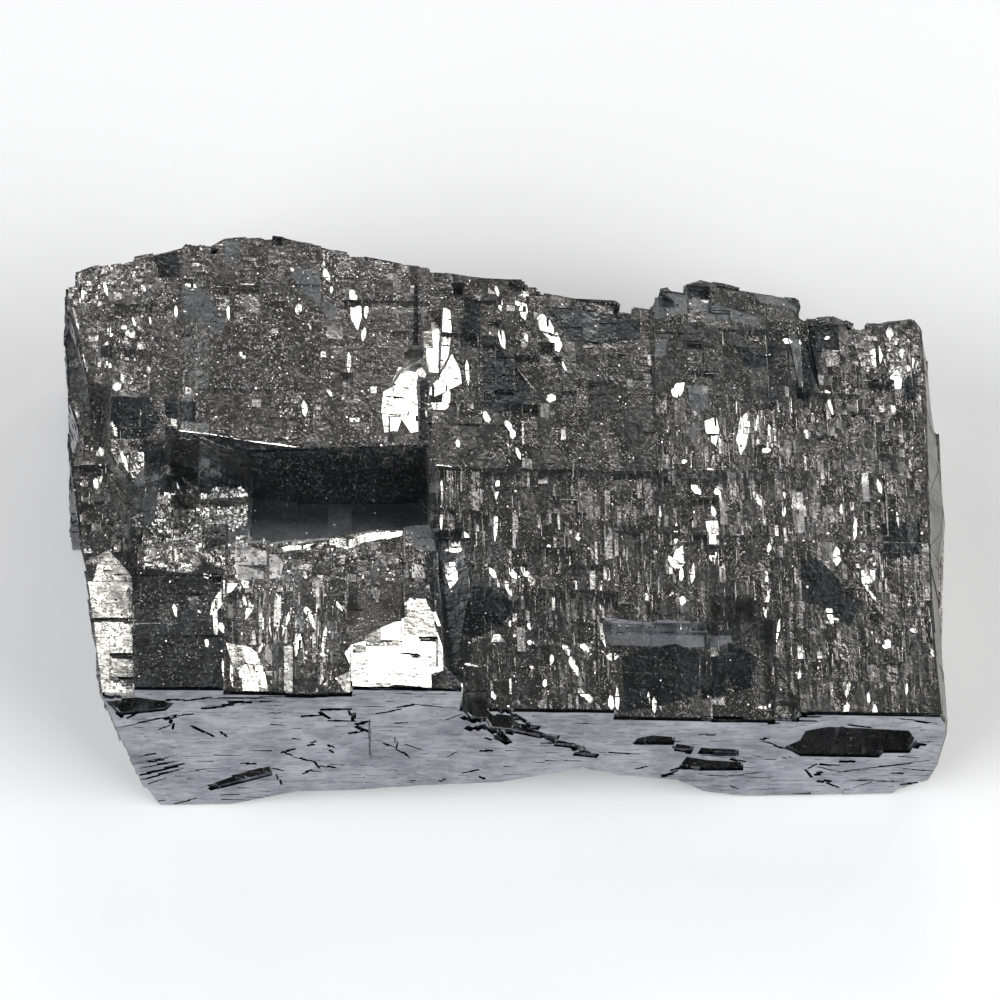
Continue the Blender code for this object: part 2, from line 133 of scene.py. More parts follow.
@dataclass(frozen=True)
class Grain:
    """How one stretch of the terraces breaks up.

    box is (left, front, right, back) along u and v; cell the usual width of a facet along u and stretch
    its length along v over that width; lift the height differences between neighbours; lean and roll the
    spread of tilt, in degrees, about u and about v; flash and glint the shares of facets that lean just
    enough to mirror the key and the strip light; dust and splinters how many lie on a square millimetre;
    fluted, sparkle, shade and matte how much fine fluting, glitter, painted shade and dullness the finish
    shows, where a matte below 0 is a polish; leans whether the stretch keeps a slope that would mirror the
    key light; bow the slope, towards the front, of the fine steps on its facets, whose flashes and glints
    then mirror the soft fills; fade the v at which the painted shade starts to fade towards the front and
    the v at which it is gone.
    """

    box: Box
    cell: float
    stretch: float = 1.2
    lift: float = 0.10
    lean: float = 3.0
    roll: float = 3.0
    flash: float = 0.02
    glint: float = 0.02
    dust: float = 0.0
    splinters: float = 0.0
    fluted: float = 0.2
    sparkle: float = 0.5
    shade: float = 0.3
    matte: float = 0.0
    leans: bool = False
    bow: float = 0.0
    fade: tuple[float, float] | None = None

    def quality(self, look: str, v: float) -> float:
        """One of LOOKS at the depth v.

        Args:
            look: The quality's name.
            v: Where it is asked for, mm.

        Returns:
            Its strength there.
        """
        value = getattr(self, look)
        # Painted shade that fades: full at and behind the first v of fade, gone at and in front of the second.
        if look == "shade" and self.fade:
            start, end = self.fade
            value *= min(max((v - end) / (start - end), 0.0), 1.0)
        return value

    def holds(self, u: float, v: float) -> bool:
        """Whether the point (u, v) lies in this stretch."""
        left, front, right, back = self.box
        return left <= u <= right and front <= v <= back


@dataclass(frozen=True)
class Patch:
    """A small outlined part of the skin with a grain of its own, or, without one, a hollow."""

    outline: FlatOutline
    grain: Grain | None

    def box(self) -> Box:
        """Its left, lower, right and upper limit."""
        across, along = zip(*self.outline)
        return min(across), min(along), max(across), max(along)

    def cut(self, piece: Outline, plane: tuple[int, int]) -> tuple[list[Outline], list[Outline]]:
        """Cuts a piece along the patch's edges.

        Args:
            piece: The piece's corner points.
            plane: The two coordinates that the patch is drawn in.

        Returns:
            The parts inside the patch and the parts outside it.
        """
        inside, outside = [piece], []
        turn = 1.0 if signed_area(self.outline) > 0 else -1.0
        for (x0, y0), (x1, y1) in zip(self.outline, self.outline[1:] + self.outline[:1]):
            normal = [0.0, 0.0, 0.0]
            along = [0.0, 0.0, 0.0]
            normal[plane[0]], normal[plane[1]] = -(y1 - y0) * turn, (x1 - x0) * turn
            along[plane[0]], along[plane[1]] = x1 - x0, y1 - y0
            at = normal[plane[0]] * x0 + normal[plane[1]] * y0
            kept = []
            for part in inside:
                below, above = split(part, normal, along, at)
                outside.extend(below)
                kept.extend(above)
            inside = kept
        return inside, outside


def signed_area(outline: FlatOutline) -> float:
    """Area of a flat outline, positive when it runs anticlockwise."""
    pairs = zip(outline, outline[1:] + outline[:1])
    return 0.5 * sum(x0 * y1 - x1 * y0 for (x0, y0), (x1, y1) in pairs)


def leaf(start: FlatPoint, end: FlatPoint, width: float) -> FlatOutline:
    """Uneven leaf-shaped outline along a line.

    Args:
        start: One tip.
        end: The other tip.
        width: The leaf's greatest width.

    Returns:
        Its corners, in order.
    """
    draw = random.Random(f"{start}{end}")
    corners = []
    for side in (1.0, -1.0):
        shares = (0.0, draw.uniform(0.15, 0.3), draw.uniform(0.55, 0.8))
        breadths = (draw.uniform(0.1, 0.3), draw.uniform(0.8, 1.0), draw.uniform(0.7, 1.0))
        for share, breadth in zip(shares, breadths):
            corners.append(beside(start, end, share if side > 0 else 1.0 - share, side * breadth * width / 2))
    return tuple(corners)


def beside(start: FlatPoint, end: FlatPoint, share: float, out: float) -> FlatPoint:
    """A point beside a line.

    Args:
        start: Where the line starts.
        end: Where it ends.
        share: How much of the way along it the point is.
        out: How far to its left, mm.

    Returns:
        The point.
    """
    (x0, y0), (x1, y1) = start, end
    length = math.dist(start, end)
    return x0 + (x1 - x0) * share - (y1 - y0) * out / length, y0 + (y1 - y0) * share + (x1 - x0) * out / length


# How the terraces break up. Where two boxes overlap, the first one counts. The values are box, cell,
# stretch, lift, lean, roll, flash, glint, dust, splinters, fluted, sparkle and shade, where shade is
# painted shade, darkest on the pocket's walls, the step wall and the dark block.
GRAINS = {
    "bright_wall": Grain(
        (-30.0, -0.6, -25.7, 1.3), 0.4, 0.8, 0.08, 3, 3, 0.4, 0.3, 0.5, 0.0, 0.1, 2.0, 0.0, matte=0.1, bow=0.4
    ),
    "pocket_wall": Grain((-36.6, 0.4, -26.0, 2.6), 1.4, 0.8, 0.05, 1.5, 1.5, 0.0, 0.02, 0.3, 0.0, 0.1, 0.8, 0.85),
    "long_pocket_wall": Grain(
        (-26.0, -0.7, -8.3, 2.6), 1.6, 0.8, 0.04, 1.2, 1.2, 0.0, 0.01, 0.2, 0.0, 0.1, 0.9, 0.84
    ),
    "step_wall": Grain((-8.5, -24.0, -5.4, -4.0), 0.8, 2.2, 0.04, 1.5, 2.0, 0.0, 0.01, 0.2, 0.0, 0.3, 0.5, 0.85),
    "bright_facet": Grain(
        (-16.6, -25.0, -7.3, -13.4), 2.2, 1.6, 0.02, 0.4, 0.6, 0.0, 0.0, 0.02, 0.0, 0.0, 0.06, 0.0,
        matte=-0.35, leans=True,
    ),
    "bright_patch": Grain((-13.4, 4.6, -7.2, 20.0), 0.7, 2.0, 0.03, 0.8, 1.2, 0.0, 0.0, 0.05, 0.0, 0.1, 0.15, 0.1),
    "left_shards": Grain((-44.0, -10.0, -37.3, 2.5), 0.8, 1.6, 0.12, 5, 5, 0.08, 0.06, 0.8, 0.4, 0.3, 0.6, 0.4),
    "bright_slope": Grain(
        (-43.0, -25.0, -37.2, -8.4), 0.4, 1.2, 0.04, 1.2, 1.6, 0.97, 0.0, 0.4, 0.0, 0.1, 0.4, 0.0,
        matte=-0.2, leans=True,
    ),
    "dark_block": Grain(
        (-37.2, -25.0, -28.5, -7.2), 2.2, 1.5, 0.04, 1.0, 1.0, 0.005, 0.005, 0.9, 0.1, 0.1, 0.5, 0.82
    ),
    "grey_shelf": Grain(
        (-37.3, -7.8, -31.3, 2.3), 0.6, 1.0, 0.08, 4, 4, 0.30, 0.20, 2.0, 0.0, 0.1, 1.7, 0.10, bow=0.3
    ),
    "bright_shelf": Grain(
        (-31.3, -7.8, -26.0, 2.3), 0.4, 1.0, 0.10, 5, 7, 0.45, 0.3, 4.5, 0.0, 0.0, 2.0, 0.0, matte=0.1, bow=0.45
    ),
    "crumb_band": Grain((-28.5, -12.5, -8.3, -6.5), 0.55, 1.0, 0.10, 4, 4, 0.06, 0.04, 2.2, 0.1, 0.1, 0.9, 0.4),
    "fluted_block": Grain(
        (-28.5, -22.5, -17.5, -11.5), 0.34, 7.0, 0.06, 1.5, 8, 0.07, 0.14, 0.3, 1.4, 1.0, 0.5, 0.45
    ),
    "middle_block": Grain((-28.5, -25.0, -7.3, -6.5), 0.8, 1.2, 0.08, 3, 4, 0.05, 0.02, 0.8, 0.4, 0.3, 0.8, 0.6),
    "plateau_left": Grain((-45.0, 2.0, -36.0, 26.0), 0.6, 1.6, 0.09, 4, 4, 0.07, 0.05, 0.8, 0.2, 0.3, 0.8, 0.18),
    "plateau": Grain((-36.0, 1.5, -12.5, 27.0), 0.9, 1.2, 0.05, 2.2, 2.2, 0.010, 0.006, 1.2, 0.05, 0.1, 0.7, 0.3),
    "plateau_right": Grain((-12.5, 1.0, -8.0, 27.0), 0.75, 2.0, 0.08, 3, 4, 0.03, 0.03, 0.4, 0.2, 0.4, 0.5, 0.4),
    "sunken_ledge": Grain((9.7, -25.0, 25.0, -14.5), 2.4, 2.0, 0.03, 0.8, 1.0, 0.01, 0.03, 0.2, 0.5, 0.8, 0.5, 0.55),
    "lump": Grain((13.5, 9.0, 29.0, 28.0), 1.2, 1.2, 0.05, 2.0, 2.0, 0.006, 0.006, 0.4, 0.05, 0.2, 0.5, 0.7),
    "back_terrace": Grain((-8.0, 1.0, 13.9, 26.0), 1.0, 1.3, 0.06, 2.4, 2.6, 0.012, 0.015, 0.5, 0.1, 0.3, 0.6, 0.62),
    "right_terrace": Grain((29.0, -6.0, 43.0, 26.0), 0.6, 2.2, 0.08, 3, 5, 0.03, 0.04, 0.5, 0.5, 0.6, 0.6, 0.57),
    "right_front": Grain((25.0, -25.0, 43.0, -6.0), 0.42, 5.5, 0.06, 1.6, 6, 0.012, 0.03, 0.2, 1.0, 1.0, 0.4, 0.5),
    "centre": Grain((-8.3, -25.0, 29.0, 28.0), 0.42, 5.5, 0.06, 2, 6, 0.03, 0.05, 0.35, 1.2, 1.0, 0.6, 0.5),
}
EVERYWHERE = (-60.0, -60.0, 60.0, 60.0)
REST = Grain(EVERYWHERE, 1.2, 1.2, 0.06, 3, 3, 0.01, 0.01, 0.3, 0.1)


class PatchKind(Enum):
    """The grains of the outlined patches."""

    FLASHING = Grain(
        EVERYWHERE, 0.36, 5.0, 0.02, 1.0, 1.5, 0.92, 0.0, 0.02, 0.0, 0.7, 0.12, 0.0, matte=-0.35, leans=True
    )
    BLAZING = Grain(
        EVERYWHERE, 2.2, 1.6, 0.01, 0.4, 0.6, 0.995, 0.0, 0.02, 0.0, 0.1, 0.05, 0.0, matte=-0.35, leans=True
    )
    GLOWING = Grain(EVERYWHERE, 0.5, 1.3, 0.02, 0.8, 1.2, 0.98, 0.0, 0.4, 0.0, 0.1, 0.45, 0.0, matte=0.08, leans=True)
    PALE = Grain(EVERYWHERE, 0.4, 2.0, 0.03, 2, 2, 0.75, 0.1, 0.8, 0.0, 0.1, 0.6, 0.0, matte=0.4)
    GLITTERING = Grain(EVERYWHERE, 0.32, 1.3, 0.07, 5, 5, 0.16, 0.10, 1.2, 0.0, 0.2, 1.1, 0.15)
    GLEAMING = Grain(EVERYWHERE, 0.4, 1.0, 0.10, 6, 8, 0.5, 0.3, 5.0, 0.0, 0.0, 1.8, 0.0, bow=0.45)
    SHADED = Grain(EVERYWHERE, 1.8, 1.5, 0.03, 0.8, 0.8, 0.0, 0.01, 0.2, 0.0, 0.2, 0.4, 1.0)
    MATTE = Grain(EVERYWHERE, 0.8, 1.2, 0.03, 1.6, 1.6, 0.0, 0.0, 1.6, 0.0, 0.1, 0.8, 0.62, matte=0.5)
    # Painted shadow: the pocket's floor is darkened below its wall, fading out towards the front.
    POCKET = Grain(
        EVERYWHERE, 2.6, 0.6, 0.03, 1.0, 1.0, 0.0, 0.0, 0.2, 0.0, 0.0, 0.5, 1.12, matte=0.7, fade=(-1.5, -4.8)
    )
    # Painted reflection: a dull blue-grey band that stands in for the floor in front, which this slope mirrors.
    BLUISH = Grain(EVERYWHERE, 1.2, 0.6, 0.03, 1.2, 1.2, 0.0, 0.0, 0.1, 0.0, 0.2, 0.4, 0.22, matte=0.9)


# Narrow bright leaves of the terraces: both tips along u and v, and the width.
STREAKS = (
    (-34.4, 4.7, -28.0, 3.5, 0.14), (-28.0, 3.5, -21.2, 2.6, 0.18), (-19.0, 2.5, -9.5, 2.2, 0.16),
    (-43.0, 21.0, -42.7, 19.0, 0.5), (-40.8, 21.3, -40.3, 19.4, 0.3), (-40.1, 16.2, -39.8, 14.9, 0.8),
    (-39.2, 9.7, -39.2, 8.6, 0.9), (-32.9, 21.2, -31.3, 20.9, 0.5), (-28.4, 18.9, -28.3, 17.0, 0.35),
    (-27.3, 13.3, -26.6, 12.6, 0.5), (-21.5, 19.2, -21.4, 17.8, 0.7), (-20.4, 17.0, -20.2, 16.0, 0.3),
    (-19.0, 23.5, -18.3, 21.8, 0.5), (-18.2, 21.4, -18.1, 20.5, 0.3), (-16.5, 13.7, -16.4, 11.1, 0.5),
    (-21.0, 8.1, -20.7, 6.2, 0.6), (-18.6, 9.3, -18.1, 8.4, 0.4), (-22.3, 23.2, -21.9, 22.8, 0.4),
    (-14.7, 19.6, -14.7, 17.5, 0.4), (-14.9, 16.7, -15.0, 14.9, 0.5), (-43.8, 18.4, -43.0, 15.3, 0.25),
    (-42.8, 13.2, -42.1, 9.3, 0.3), (-42.0, 9.1, -41.5, 7.5, 0.4), (-38.9, 10.8, -38.7, 9.8, 0.4),
    (-42.2, 4.6, -41.4, 4.1, 0.6), (-40.9, 4.8, -40.1, 3.0, 0.8), (-40.8, 2.5, -40.6, 0.7, 0.5),
    (-37.9, 17.4, -37.5, 16.3, 0.3), (-36.2, 17.8, -36.0, 16.6, 0.3), (-33.6, 18.6, -33.5, 17.1, 0.3),
    (-40.4, 11.9, -39.7, 11.4, 0.6), (-9.6, 12.7, -8.9, 11.4, 0.9), (-4.8, 14.0, -4.6, 10.6, 0.4),
    (-1.4, 17.6, -0.9, 14.8, 0.6), (-1.4, 21.1, -1.2, 19.3, 0.5), (0.2, 20.6, 1.0, 19.9, 0.6),
    (1.2, 22.6, 1.4, 20.5, 0.6), (0.8, 20.4, 1.3, 18.4, 0.9), (4.6, 13.8, 5.2, 12.5, 0.35),
    (3.6, 10.1, 3.5, 9.0, 1.0), (-3.2, 7.7, -2.6, 6.2, 0.6), (-1.1, 6.6, -0.3, 5.3, 0.6),
    (-0.4, 5.6, -0.3, 4.4, 0.6), (-0.1, 3.6, 0.4, 2.1, 0.4), (-5.9, 4.4, -5.6, 3.4, 0.5),
    (1.1, 16.8, 1.6, 15.9, 0.7), (-1.8, 22.4, -1.4, 21.0, 0.4), (-2.8, -9.1, -2.0, -10.4, 0.6),
    (-1.3, -10.6, -0.6, -12.2, 0.6), (-1.0, -9.1, -0.1, -10.4, 0.6), (0.3, -8.8, 1.0, -10.2, 0.6),
    (0.8, -9.9, 1.6, -11.3, 0.7), (2.9, -6.8, 3.0, -7.8, 0.5), (5.8, -5.3, 6.0, -6.4, 0.7),
    (-1.8, 1.0, -2.0, -1.9, 0.4), (-2.0, -2.8, -2.1, -6.4, 0.4), (-7.4, 0.5, -7.3, -2.0, 0.25),
    (-7.4, -2.4, -7.4, -5.4, 0.3), (16.4, 2.3, 16.5, 1.8, 0.6), (18.6, 1.0, 19.3, 1.3, 0.5),
    (19.5, -0.3, 20.0, -1.4, 0.6), (19.1, -2.0, 19.5, -3.4, 0.5), (15.9, -8.6, 15.9, -10.4, 0.4),
    (17.1, -8.1, 16.9, -10.7, 0.5), (14.7, -7.6, 15.4, -9.0, 0.6), (15.5, -4.2, 15.5, -6.2, 0.4),
    (14.0, -2.1, 14.1, -3.7, 0.3), (23.1, -0.5, 24.0, -2.2, 0.6), (26.3, 0.9, 26.4, -1.5, 0.4),
    (26.2, -2.2, 26.2, -3.5, 0.4), (24.6, -6.2, 24.5, -7.4, 0.4), (-2.0, -16.2, -2.4, -17.4, 0.8),
    (0.9, -14.7, 1.2, -15.6, 0.4), (-0.8, -14.7, -0.8, -15.5, 0.4), (0.8, -16.9, 1.5, -16.9, 0.5),
    (-0.7, -16.2, -0.2, -16.1, 0.5), (4.2, -17.1, 4.9, -18.4, 0.6), (4.8, -18.3, 5.7, -20.5, 0.7),
    (5.9, -17.0, 6.8, -17.8, 0.7), (5.5, -21.5, 6.3, -22.8, 0.7), (6.1, -22.4, 7.0, -23.3, 0.7),
    (8.6, -22.4, 8.8, -24.1, 0.6), (9.4, -20.8, 9.5, -23.7, 0.5), (-5.4, -19.5, -3.9, -19.7, 0.3),
    (-2.8, -22.3, -2.4, -23.2, 0.6), (2.4, -20.9, 2.4, -21.9, 0.4), (0.9, -19.3, 1.4, -19.8, 0.4),
    (3.1, -18.2, 3.2, -19.3, 0.4), (8.0, -10.8, 8.0, -13.5, 0.25), (15.9, -11.9, 15.9, -13.0, 0.6),
    (24.5, -10.9, 24.0, -13.3, 0.3), (23.9, -12.7, 24.1, -14.2, 0.3), (22.9, -12.4, 22.8, -13.6, 0.5),
    (25.4, -14.0, 24.9, -16.9, 0.25), (24.9, -16.9, 24.5, -20.4, 0.25), (13.0, -21.8, 13.1, -23.7, 0.5),
    (12.5, -21.3, 12.5, -23.2, 0.3), (23.1, -22.8, 25.0, -22.5, 0.5), (26.1, -22.7, 26.2, -23.8, 0.4),
    (23.9, 7.6, 23.5, 5.0, 0.3), (24.2, 3.3, 25.0, 3.7, 0.6), (26.8, 16.1, 27.6, 16.1, 0.7),
    (28.1, 15.8, 28.1, 14.2, 0.5), (28.7, 18.1, 28.6, 16.2, 0.6), (25.0, 7.0, 25.1, 5.1, 0.3),
    (27.4, 10.0, 27.4, 7.8, 0.25), (19.8, 20.3, 20.1, 20.2, 0.5), (31.3, 17.3, 31.7, 17.8, 0.4),
    (37.7, 19.1, 37.9, 17.7, 0.8), (38.9, 16.8, 39.0, 15.4, 0.6), (40.1, 15.7, 39.5, 14.0, 0.6),
    (41.5, 14.9, 41.4, 12.8, 0.25), (30.9, 11.4, 31.5, 10.9, 0.5), (31.3, 11.0, 31.9, 8.4, 0.6),
    (28.7, 6.9, 29.1, 5.8, 0.6), (31.1, -6.3, 31.2, -8.5, 0.8), (32.0, -1.2, 32.0, -2.4, 0.4),
    (33.3, -2.8, 33.1, -5.5, 0.35), (34.2, -11.0, 34.8, -12.1, 0.3), (35.7, 1.8, 36.1, -0.1, 0.5),
    (39.1, 1.6, 39.1, 0.0, 0.4), (37.4, -2.1, 37.6, -4.2, 0.25), (30.5, -14.2, 31.2, -14.3, 0.4),
    (28.9, -17.5, 29.0, -19.4, 0.6), (29.0, -12.6, 29.2, -13.6, 0.3), (35.8, -16.1, 35.6, -17.2, 0.8),
    (31.8, -20.6, 31.5, -22.7, 0.4), (31.5, -23.1, 31.3, -24.5, 0.6), (33.6, -21.9, 33.6, -23.2, 0.3),
    (34.1, -23.0, 34.2, -24.9, 0.5), (27.0, -19.8, 27.0, -20.8, 0.3), (37.4, -20.8, 37.3, -22.3, 0.3),
    (38.1, -15.2, 38.8, -15.1, 0.6), (39.8, -17.0, 40.5, -18.1, 0.6), (-39.9, 5.3, -39.0, 3.2, 0.7),
    (-40.2, 2.6, -39.9, 1.1, 0.4), (-38.7, 1.9, -37.9, -0.9, 0.5), (-41.2, 1.3, -40.9, -0.1, 0.6),
    (-34.1, 3.1, -33.9, 1.9, 0.8), (-33.5, 1.4, -33.3, 0.1, 0.5), (-32.8, 1.9, -31.0, 0.3, 0.4),
    (-30.8, -11.3, -28.6, -12.1, 0.5), (-29.4, -15.2, -29.1, -18.6, 0.5), (-30.2, -18.5, -29.9, -19.6, 0.4),
    (-21.2, -17.3, -21.5, -20.1, 0.6), (-20.7, -14.4, -20.2, -15.4, 0.6), (-19.3, -19.9, -18.7, -19.9, 0.6),
    (-25.2, -23.6, -24.2, -24.9, 0.5), (-33.3, -14.6, -32.9, -16.3, 0.4), (-31.0, -15.5, -30.5, -15.5, 0.5),
    (-29.0, -16.8, -28.3, -18.2, 0.6), (-26.0, -14.0, -26.3, -15.8, 0.5), (-26.7, -13.2, -26.3, -14.4, 0.4),
    (-28.6, -20.8, -28.2, -23.8, 0.35), (-27.8, -21.0, -27.5, -23.8, 0.35), (-9.7, 1.5, -6.0, 1.2, 0.16),
    (2.3, 0.9, 5.7, 0.7, 0.16), (5.7, 0.7, 12.1, 0.4, 0.18), (-22.5, -14.9, -22.8, -18.0, 0.4),
    (-24.1, -15.3, -23.9, -18.0, 0.3), (-25.7, -14.2, -26.4, -16.0, 0.4), (-20.4, -14.8, -19.7, -17.0, 0.5),
    (-18.7, -16.5, -19.0, -19.7, 0.4), (-22.0, -14.3, -22.4, -16.6, 0.3), (-17.9, -13.4, -17.0, -14.7, 0.4),
    (-24.8, -18.5, -25.2, -20.1, 0.4),
)

